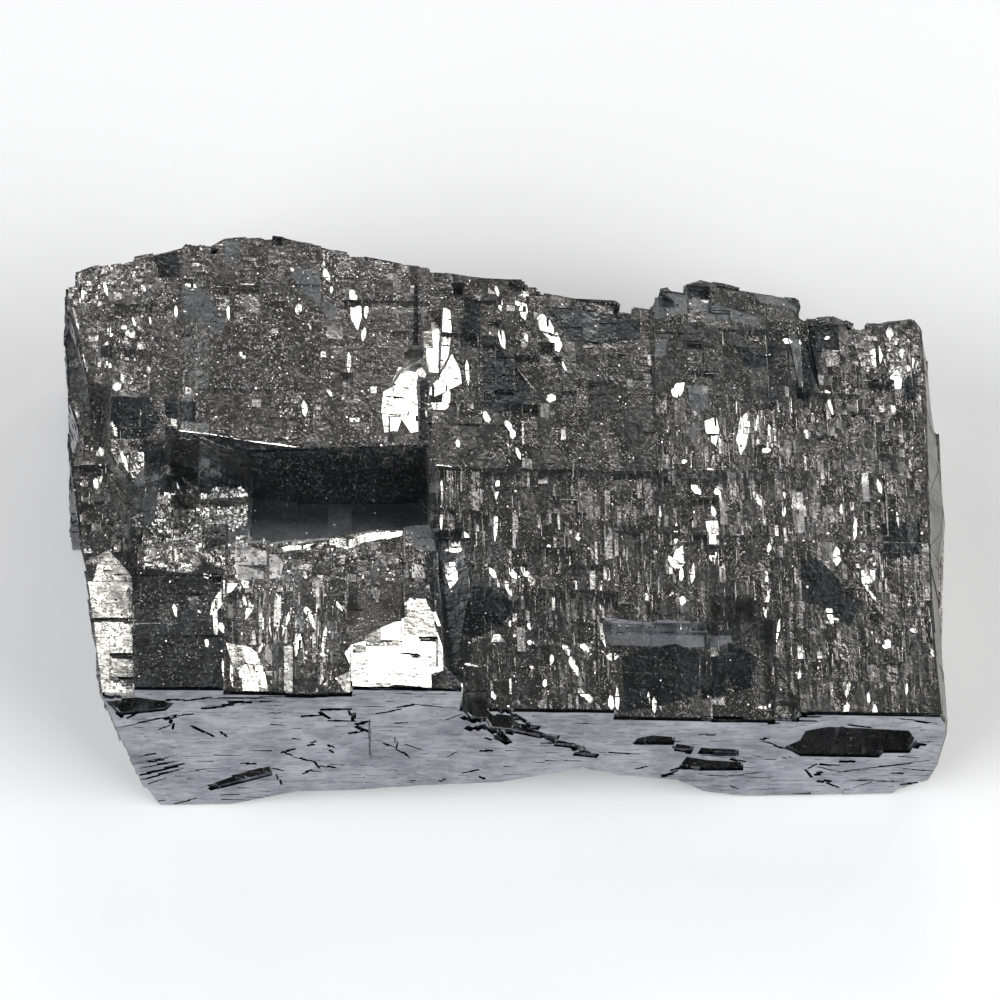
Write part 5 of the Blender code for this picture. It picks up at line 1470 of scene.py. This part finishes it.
UNFLUTED = {"flute_depth": 0.0, "contour_depth": 0.0}
FINISHES = {  # name, dark, light, smooth and dull, and what differs from the usual
    "terrace": GalenaFinish(
        "galena_terraces",
        (0.20, 0.20, 0.20),
        (0.80, 0.79, 0.76),
        0.20,
        0.32,
        contour_depth=0.0,
        patch_scale=0.45,
        walls=0.35,
        reads_cells=True,
    ),
    "front": GalenaFinish(
        "galena_front",
        (0.16, 0.16, 0.19),
        (0.46, 0.46, 0.50),
        0.07,
        0.15,
        facet=(1.6, 1.0, 0.5),
        slope=0.06,
        share=0.5,
        swell=0.02,
        swell_size=1.4,
        flute_depth=0.03,
        flutes=(0.25, 0.5, 3.0),
        contour_depth=0.008,
        contour_stretch=(0.25, 0.5, 1.3),
        patch_scale=0.16,
        lines=0.65,
        walls=0.85,
    ),
    "side": GalenaFinish("galena_sides", (0.12, 0.12, 0.125), (0.36, 0.36, 0.37), 0.16, 0.3, flutes=(0.3, 0.3, 4.0)),
    "rind": GalenaFinish(
        "galena_rind", (0.14, 0.14, 0.125), (0.30, 0.30, 0.27), 0.24, 0.34, slope=0.3, **UNFLUTED
    ),
    # The core shows only in cracks and in the gaps between the cells; its dark colour is painted shade.
    "hollow": GalenaFinish("galena_hollows", (0.03, 0.03, 0.033), (0.16, 0.16, 0.17), 0.2, 0.35, **UNFLUTED),
    "crumb": GalenaFinish("galena_crumbs", (0.4, 0.4, 0.4), (0.66, 0.65, 0.63), 0.10, 0.2, slope=0.3, **UNFLUTED),
}

# The rim along the back and the side's widest place on the right, along u and v.
BACK_EDGE = (
    (-44.6, 21.0), (-43.8, 22.3), (-42.2, 23.3), (-39.0, 24.1), (-36.2, 24.8), (-33.3, 25.6), (-32.7, 26.3),
    (-30.4, 25.9), (-29.1, 26.8), (-24.3, 27.2), (-22.2, 26.8), (-19.0, 26.1), (-16.3, 25.5), (-13.8, 24.9),
    (-11.3, 24.3), (-6.9, 24.0), (-2.9, 23.5), (1.1, 22.8), (2.7, 21.9), (6.2, 21.3), (10.7, 20.7), (14.2, 20.1),
    (14.9, 22.0), (17.2, 22.6), (18.8, 23.2), (21.6, 22.8), (23.6, 22.2), (27.3, 21.6), (28.8, 20.5), (29.6, 19.9),
    (32.4, 20.3), (34.5, 19.4), (37.7, 19.8), (40.6, 20.2), (41.3, 19.1),
)
RIND_EDGE = (
    (-25.0, 41.5), (-20.0, 41.4), (-9.0, 41.4), (-4.5, 42.0), (-2.8, 42.5), (0.0, 42.9), (3.0, 42.8), (4.6, 42.1),
    (9.0, 42.4), (9.6, 41.9), (14.0, 42.0), (18.0, 41.6), (23.0, 41.0),
)
PLUGS = (  # sheets of cells that close a hollow of the bright facet and one of the dark block
    ((-11.2, -22.4, 21.76), (-7.7, -22.4, 21.70), (-7.7, -17.3, 20.71), (-11.2, -17.3, 20.77)),
    ((-37.1, -17.2, 21.05), (-32.6, -17.2, 21.05), (-32.6, -14.6, 20.85), (-37.1, -14.6, 20.85)),
)
# How much of the way to that widest place the side swells out, by height w.
RIND_SWELL = ((3.0, 0.0), (5.0, 0.7), (8.0, 1.0), (14.5, 1.0), (17.0, 0.75), (19.0, 0.0))


def between(points: FlatOutline, at: float) -> float:
    """Value at a place along a broken line.

    Args:
        points: The line's (place, value) points, in order.
        at: The place.

    Returns:
        The value, which is the end point's beyond the line.
    """
    for (x0, y0), (x1, y1) in zip(points, points[1:]):
        if x0 <= at <= x1:
            return y0 + (y1 - y0) * (at - x0) / (x1 - x0)
    return points[0][1] if at < points[0][0] else points[-1][1]


# -------------------- block


@dataclass(frozen=True)
class Litter:
    """Small broken bits that lie on the terraces.

    density is the field of Grain that says how many lie on a square millimetre; margin how far from the rim
    they lie, along u and v; smallest and largest their sizes across, along and up; spread how far they are
    turned about each axis, in radians; along whether they are splinters that lie along v. Lengths are mm.
    """

    name: str
    density: str
    margin: FlatPoint
    smallest: Point
    largest: Point
    spread: Point
    seed: int
    along: bool


LITTER = (
    Litter("crumbs", "dust", (0.6, 1.0), (0.06, 0.06, 0.06), (0.24, 0.24, 0.16), (0.35, 0.35, math.pi), 3, False),
    Litter("splinters", "splinters", (1.4, 4.2), (0.06, 0.6, 0.04), (0.20, 3.2, 0.12), (0.03, 0.20, 0.06), 5, True),
)


@dataclass
class CleavedBlock:
    """The whole specimen: the core and the skin of cleavage cells on it."""

    axes: CrystalAxes
    effects: ShaderEffects
    top_normal: float = 0.72  # how far up a face looks to count as a terrace
    front_normal: float = 0.7  # how far forward a face looks to count as the front
    front_edge: float = -23.9  # v behind which a face isn't on the front
    rind_from: float = 38.3  # u at which the right side begins
    rind_normal: float = 0.5  # how far to the right a face looks to count as the rind
    rind_foot: float = 2.0  # w below which the right side is plain, mm
    inner: Point = (40.5, 23.8, 13.0)  # a wall nearer to the middle than u and v, and above w, is a terrace's
    inner_normal: float = -0.2  # unless it looks further down than this
    upper: FlatPoint = (15.0, 0.25)  # so is a face above this w that looks up more than this
    doubled: float = 1e-3  # corners closer than this are one after the drawing in, mm
    flat: float = 0.4  # faces that lie within this angle are one, degrees
    materials: dict[str, Material] = field(init=False)

    def __post_init__(self) -> None:
        """Makes the finishes."""
        self.materials = {key: finish.material(self.effects, self.axes) for key, finish in FINISHES.items()}

    def core_mesh(self, node: Object) -> BMesh:
        """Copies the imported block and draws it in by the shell's thickness.

        Args:
            node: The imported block.

        Returns:
            Its closed skin in crystal millimetres, with flat faces in one piece.
        """
        core = bmesh.new()
        core.from_mesh(node.data)
        bmesh.ops.remove_doubles(core, verts=core.verts, dist=self.doubled * MM)
        bmesh.ops.transform(core, matrix=self.axes.to_crystal(), verts=core.verts)
        self.even_back(core)
        low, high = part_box(NODE)
        centre = self.axes.to_crystal() @ ((low + high) / 2)
        half = (high - low) / 2
        shrink = [1.0 - SHELL * MM / h for h in half]
        shrink[2] = 1.0 - SHELL * MM / 2 / half[2]
        for vertex in core.verts:
            vertex.co = Vector(c + (x - c) * s for x, c, s in zip(vertex.co, centre, shrink))
        self.swell_rind(core)
        bmesh.ops.remove_doubles(core, verts=core.verts, dist=self.doubled)
        bmesh.ops.dissolve_degenerate(core, dist=self.doubled, edges=core.edges)
        bmesh.ops.triangulate(core, faces=core.faces)
        bmesh.ops.dissolve_limit(
            core,
            angle_limit=math.radians(self.flat),
            use_dissolve_boundaries=False,
            verts=core.verts,
            edges=core.edges,
        )
        core.normal_update()
        return core

    def even_back(self, core: BMesh) -> None:
        """Draws the stepped rim along the back to the even line that its steps follow.

        Args:
            core: The block's skin in crystal millimetres.
        """
        near = 0.06  # a corner is on a step when it is closer than this, mm
        for vertex in core.verts:
            u, v, _ = vertex.co
            for (u0, v0), (u1, v1) in zip(BACK_EDGE, BACK_EDGE[1:]):
                tread = u0 - near < u < u1 + near and abs(v - v0) < near
                riser = abs(u - u1) < near and min(v0, v1) - near < v < max(v0, v1) + near
                if tread or riser:
                    vertex.co.y = between(BACK_EDGE, u)
                    break

    def swell_rind(self, core: BMesh) -> None:
        """Lets the right side swell out below its upper edge.

        Args:
            core: The block's skin in crystal millimetres.
        """
        for level, _ in RIND_SWELL:
            near = [face for face in core.faces if max(v.co.x for v in face.verts) > self.rind_from]
            edges = {edge for face in near for edge in face.edges}
            verts = {vertex for face in near for vertex in face.verts}
            bmesh.ops.bisect_plane(core, geom=[*verts, *edges, *near], plane_co=(0, 0, level), plane_no=(0, 0, 1))
        core.normal_update()
        right = [face for face in core.faces if face.normal.x > self.rind_normal]
        for vertex in {v for face in right for v in face.verts if v.co.x > self.rind_from}:
            reach = between(RIND_EDGE, vertex.co.y) - vertex.co.x
            vertex.co.x += max(reach, 0.0) * between(RIND_SWELL, vertex.co.z)

    def facing(self, face: BMFace) -> Facing:
        """Tells which part of the skin a face belongs to.

        Args:
            face: A face of the core.

        Returns:
            The part.
        """
        u, v, w = face.calc_center_median()
        right, back, up = face.normal
        if right > self.rind_normal and u > self.rind_from and w > self.rind_foot:
            return Facing.RIND
        if up > self.top_normal:
            return Facing.TERRACE
        if back < -self.front_normal and v < self.front_edge:
            return Facing.FRONT
        half_width, half_depth, foot = self.inner
        if abs(u) < half_width and abs(v) < half_depth and w > foot and up > self.inner_normal:
            return Facing.TERRACE
        return Facing.TERRACE if w > self.upper[0] and up > self.upper[1] else Facing.SIDE

    def cell_object(self, name: str, cells: list[Cell]) -> Object:
        """Lays the cells out as flat doubled faces, ready to be raised.

        Args:
            name: The object's name.
            cells: The cells.

        Returns:
            An object with the attributes that the raising tree reads.
        """
        to_row = self.axes.to_row()
        turn = self.axes.rotation().to_3x3()
        points: list[Vector] = []
        faces: list[tuple[int, ...]] = []
        outs: list[float] = []
        numbers: dict[str, list[float]] = {key: [] for key in ("rise", "tilt", *LOOKS)}
        for cell in cells:
            ring = tuple(range(len(points), len(points) + len(cell.outline)))
            faces.extend((ring, ring[::-1]))
            points.extend(to_row @ Vector(point) for point in cell.outline)
            outs.extend(tuple(turn @ cell.out) * len(ring))
            numbers["rise"].extend(rise * MM for rise in cell.rises)
            numbers["tilt"].extend([cell.tilt] * len(ring))
            for look in LOOKS:
                numbers[look].extend(cell.grain.quality(look, v) for _, v, _ in cell.outline)
        laid = laid_out(name, points, faces)
        store(laid, "out", outs, "POINT", "FLOAT_VECTOR")
        for key, values in numbers.items():
            store(laid, key, values, "POINT")
        store(laid, "upper", [True, False] * len(cells), "FACE", "BOOLEAN")
        return laid

    def build(self, node: Object) -> list[Object]:
        """Builds the specimen.

        Args:
            node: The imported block.

        Returns:
            The finished pieces.
        """
        core = self.core_mesh(node)
        cleaver = Cleaver()
        groups: dict[Facing, list[Cell]] = {facing: [] for facing in Facing}
        for face in core.faces:
            facing = self.facing(face)
            groups[facing].extend(cleaver.cells([tuple(v.co) for v in face.verts], face.normal.copy(), facing))
        for plug in PLUGS:
            across, along = Vector(plug[1]) - Vector(plug[0]), Vector(plug[3]) - Vector(plug[0])
            groups[Facing.TERRACE].extend(cleaver.cells(list(plug), across.cross(along).normalized(), Facing.TERRACE))
        tree = raise_cells_tree()
        pieces = []
        terrace = groups[Facing.TERRACE]
        skin = {facing.value: (facing, cells) for facing, cells in groups.items() if facing is not Facing.TERRACE}
        skin["left_terrace"] = Facing.TERRACE, [cell for cell in terrace if middle(cell.outline).x < HALFWAY]
        skin["right_terrace"] = Facing.TERRACE, [cell for cell in terrace if middle(cell.outline).x >= HALFWAY]
        for name, (facing, cells) in skin.items():
            laid = self.cell_object(f"{name}_cells", cells)
            pieces.append(grow(f"galena_{name}_cells", laid, tree, {"Material": self.materials[facing.value]}))
            LOG.info("%s: %d cells", name, len(cells))
        bmesh.ops.transform(core, matrix=self.axes.to_row(), verts=core.verts)
        body = mesh_from_bmesh("galena_core", core)
        # The core shows only through cracks and gaps, so it wears the painted shade of the hollows.
        body.data.materials.append(self.materials["hollow"])
        pieces.append(body)
        pieces.extend(self.strewn(groups[Facing.TERRACE]))
        low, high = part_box(NODE)
        for piece in pieces:
            for vertex in piece.data.vertices:
                vertex.co = [min(max(x, a), b) for x, a, b in zip(vertex.co, low, high)]
        return pieces

    def strewn(self, cells: list[Cell]) -> list[Object]:
        """Strews crumbs and splinters over the terraces.

        Args:
            cells: The terraces' cells.

        Returns:
            The crumbs and the splinters.
        """
        pieces = []
        for litter in LITTER:
            shape = mesh_from_bmesh(f"{litter.name}_shape", splinter_shape() if litter.along else cube_shape())
            inputs = {
                "Shape": shape,
                "Smallest": tuple(side * MM for side in litter.smallest),
                "Largest": tuple(side * MM for side in litter.largest),
                "Turn": tuple(self.axes.rotation().to_euler()) if litter.along else (0.0, 0.0, 0.0),
                "Spread": litter.spread,
                "Seed": litter.seed,
                "Material": self.materials["crumb"],
            }
            bed = self.bed_object(f"{litter.name}_bed", cells, litter)
            tree = scatter_tree(f"strew_{litter.name}", litter.along)
            pieces.append(grow(f"galena_{litter.name}", bed, tree, inputs))
            bpy.data.objects.remove(shape)
        return pieces

    def bed_object(self, name: str, cells: list[Cell], litter: Litter) -> Object:
        """The facets' upper faces, with the density at which something is strewn on them.

        Args:
            name: The object's name.
            cells: The terraces' cells.
            litter: What is strewn.

        Returns:
            The bed.
        """
        to_row = self.axes.to_row()
        points: list[Vector] = []
        faces: list[range] = []
        density: list[float] = []
        level = [cell for cell in cells if cell.out.z > self.top_normal]
        reach = Reach([middle(cell.outline) for cell in level])
        for cell in level:
            if reach.inside(middle(cell.outline), litter.margin):
                faces.append(range(len(points), len(points) + len(cell.outline)))
                raised = zip(cell.outline, cell.rises)
                points.extend(to_row @ (Vector(point) + cell.out * rise) for point, rise in raised)
                density.append(getattr(cell.grain, litter.density) / MM**2)
        bed = laid_out(name, points, faces)
        store(bed, "density", density, "FACE")
        return bed


class Reach:
    """Tells the middle of the terraces from their rim."""

    gap = 1.3  # a point further than this from every facet is off the terraces, mm

    def __init__(self, middles: list[Vector]) -> None:
        """Sorts the facets for searching.

        Args:
            middles: Their middles.
        """
        self.tree = KDTree(len(middles))
        for index, point in enumerate(middles):
            self.tree.insert((point.x, point.y, 0.0), index)
        self.tree.balance()

    def inside(self, point: Vector, margin: FlatPoint) -> bool:
        """Whether the terraces go on around a point.

        Args:
            point: The point.
            margin: How far they are to go on, along u and along v, mm.

        Returns:
            Whether they do.
        """
        across, along = margin
        steps = ((across, 0), (-across, 0), (0, along), (0, -along), (across, along), (-across, along))
        return all(self.tree.find((point.x + du, point.y + dv, 0.0))[2] < self.gap for du, dv in steps)


def cube_shape() -> BMesh:
    """A unit cube, sunk a little below its origin."""
    shape = bmesh.new()
    bmesh.ops.create_cube(shape, size=1.0)
    bmesh.ops.translate(shape, vec=(0, 0, 0.2), verts=shape.verts)
    return shape


def splinter_shape() -> BMesh:
    """A three-sided bar along y, one unit long, with its ridge up and pointed ends."""
    shape = bmesh.new()
    bmesh.ops.create_cube(shape, size=1.0)
    for vertex in shape.verts:
        vertex.co.z = vertex.co.z - 0.3
        if vertex.co.z > 0:
            vertex.co.x *= 0.15
            vertex.co.y *= 0.75
        else:
            vertex.co.x *= 1.2
    return shape


# -------------------- studio


@dataclass(frozen=True)
class SoftBox:
    """A rectangular light that points at the specimen.

    direction is where it stands as seen from the specimen; distance and size, across and along, are metres;
    radiance is how bright its surface is.
    """

    name: str
    direction: Point
    distance: float
    size: FlatPoint
    radiance: float
    colour: Point = (1.0, 1.0, 1.0)

    def build(self, target: Vector) -> Object:
        """Makes the light.

        Args:
            target: What it points at.

        Returns:
            The light's object.
        """
        data = bpy.data.lights.new(self.name, "AREA")
        data.shape = "RECTANGLE"
        data.size, data.size_y = self.size
        data.energy = self.radiance * math.pi * self.size[0] * self.size[1]
        data.color = self.colour
        light = link(bpy.data.objects.new(self.name, data))
        towards = Vector(self.direction).normalized()
        light.location = target + towards * self.distance
        light.rotation_mode = "QUATERNION"
        light.rotation_quaternion = towards.to_track_quat("Z", "Y")
        return light


@dataclass
class Studio:
    """Pale floor, soft lights and the camera.

    elevation is how steeply the camera looks down, in degrees; distance, target and floor_size are metres
    and lens mm; walls the colours of the surroundings by height, from 0 at the horizon to 1 overhead; paper
    the floor's colour.
    """

    axes: CrystalAxes
    elevation: float = 60.0
    distance: float = 0.5
    lens: float = 180.0
    target: Point = (0.000352, 0.002446, 0.0105)
    floor_size: float = 6.0
    walls: tuple[tuple[float, Point], ...] = (
        (0.05, (0.85, 0.86, 0.88)),
        (0.40, (0.16, 0.16, 0.165)),
        (0.80, (0.040, 0.040, 0.040)),
    )
    paper: Point = (0.97, 0.97, 0.97)

    def gaze(self) -> Vector:
        """Direction in which the camera looks."""
        angle = math.radians(self.elevation)
        return Vector((0.0, math.cos(angle), -math.sin(angle)))

    def mirrored(self, back: float, right: float) -> Vector:
        """Where a facet sends the camera's gaze.

        Args:
            back: The facet's backward lean in degrees.
            right: Its rightward lean in degrees.

        Returns:
            The direction in the row frame.
        """
        normal = Vector((math.tan(math.radians(right)), math.tan(math.radians(back)), 1.0)).normalized()
        normal = self.axes.rotation().to_3x3() @ normal
        return self.gaze().reflect(normal)

    def build(self) -> None:
        """Builds the studio."""
        target = Vector(self.target)
        boxes = (
            SoftBox("key_light", tuple(self.mirrored(FLASH_LEAN, 0.0)), 0.9, (0.34, 0.16), 6.0, (1.0, 0.97, 0.92)),
            SoftBox("strip_light", tuple(self.mirrored(0.0, SIDE_LEAN)), 0.9, (0.12, 0.30), 4.0, (1.0, 0.98, 0.95)),
            SoftBox("side_light", tuple(self.mirrored(2.0, -17.0)), 0.9, (0.16, 0.30), 1.8, (0.95, 0.97, 1.0)),
            SoftBox("left_fill", (-0.80, -0.40, 0.62), 1.2, (1.1, 0.9), 3.9, (0.98, 0.985, 1.0)),
            SoftBox("right_fill", (0.80, -0.40, 0.62), 1.2, (1.1, 0.9), 3.9, (0.98, 0.985, 1.0)),
        )
        for box in boxes:
            box.build(target)
        self.build_world()
        self.build_floor()
        self.build_camera(target)

    def build_world(self) -> None:
        """Pale walls that darken towards the ceiling."""
        world = bpy.data.worlds.new("studio")
        world.use_nodes = True
        bpy.context.scene.world = world
        build = TreeBuilder(world.node_tree)
        height = build.part(build.node("ShaderNodeTexCoord").outputs["Generated"], "Z")
        ramp = build.node("ShaderNodeValToRGB", {"Fac": height})
        stops = ramp.color_ramp.elements
        stops[0].position, stops[-1].position = self.walls[0][0], self.walls[-1][0]
        for place, _ in self.walls[1:-1]:
            stops.new(place)
        for stop, (_, colour) in zip(stops, self.walls):
            stop.color = (*colour, 1.0)
        backdrop = build.standing("BACKGROUND").inputs
        build.feed(backdrop["Color"], ramp.outputs[0])
        build.feed(backdrop["Strength"], 1.0)
        bpy.context.scene.view_settings.view_transform = "Standard"

    def build_floor(self) -> None:
        """Plain pale floor at the height that the specimen rests on."""
        shape = bmesh.new()
        bmesh.ops.create_grid(shape, x_segments=1, y_segments=1, size=self.floor_size / 2)
        floor = mesh_from_bmesh("floor", shape)
        material = bpy.data.materials.new("floor_paper")
        material.use_nodes = True
        shader = TreeBuilder(material.node_tree).standing("BSDF_PRINCIPLED").inputs
        shader["Base Color"].default_value = (*self.paper, 1.0)
        shader["Roughness"].default_value = 0.9
        floor.data.materials.append(material)

    def build_camera(self, target: Vector) -> None:
        """Puts the camera at its place, looking down at the specimen.

        Args:
            target: What it looks at.
        """
        data = bpy.data.cameras.new("camera")
        data.lens = self.lens
        data.sensor_width = 36.0
        data.clip_start, data.clip_end = 0.01, 20.0
        camera = link(bpy.data.objects.new("camera", data))
        camera.location = target - self.gaze() * self.distance
        camera.rotation_euler = (math.radians(90.0 - self.elevation), 0.0, 0.0)
        bpy.context.scene.camera = camera


def main() -> None:
    """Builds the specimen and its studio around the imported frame."""
    logging.basicConfig(level=logging.INFO, format="%(name)s: %(message)s")
    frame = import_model()
    axes = CrystalAxes()
    block = CleavedBlock(axes, ShaderEffects())
    for piece in block.build(frame["nodes"][NODE]):
        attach(piece, BODY)
        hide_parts(NODE)
        LOG.info("%s: %d faces", piece.name, len(piece.data.polygons))
    Studio(axes).build()


if __name__ == "__main__":
    main()
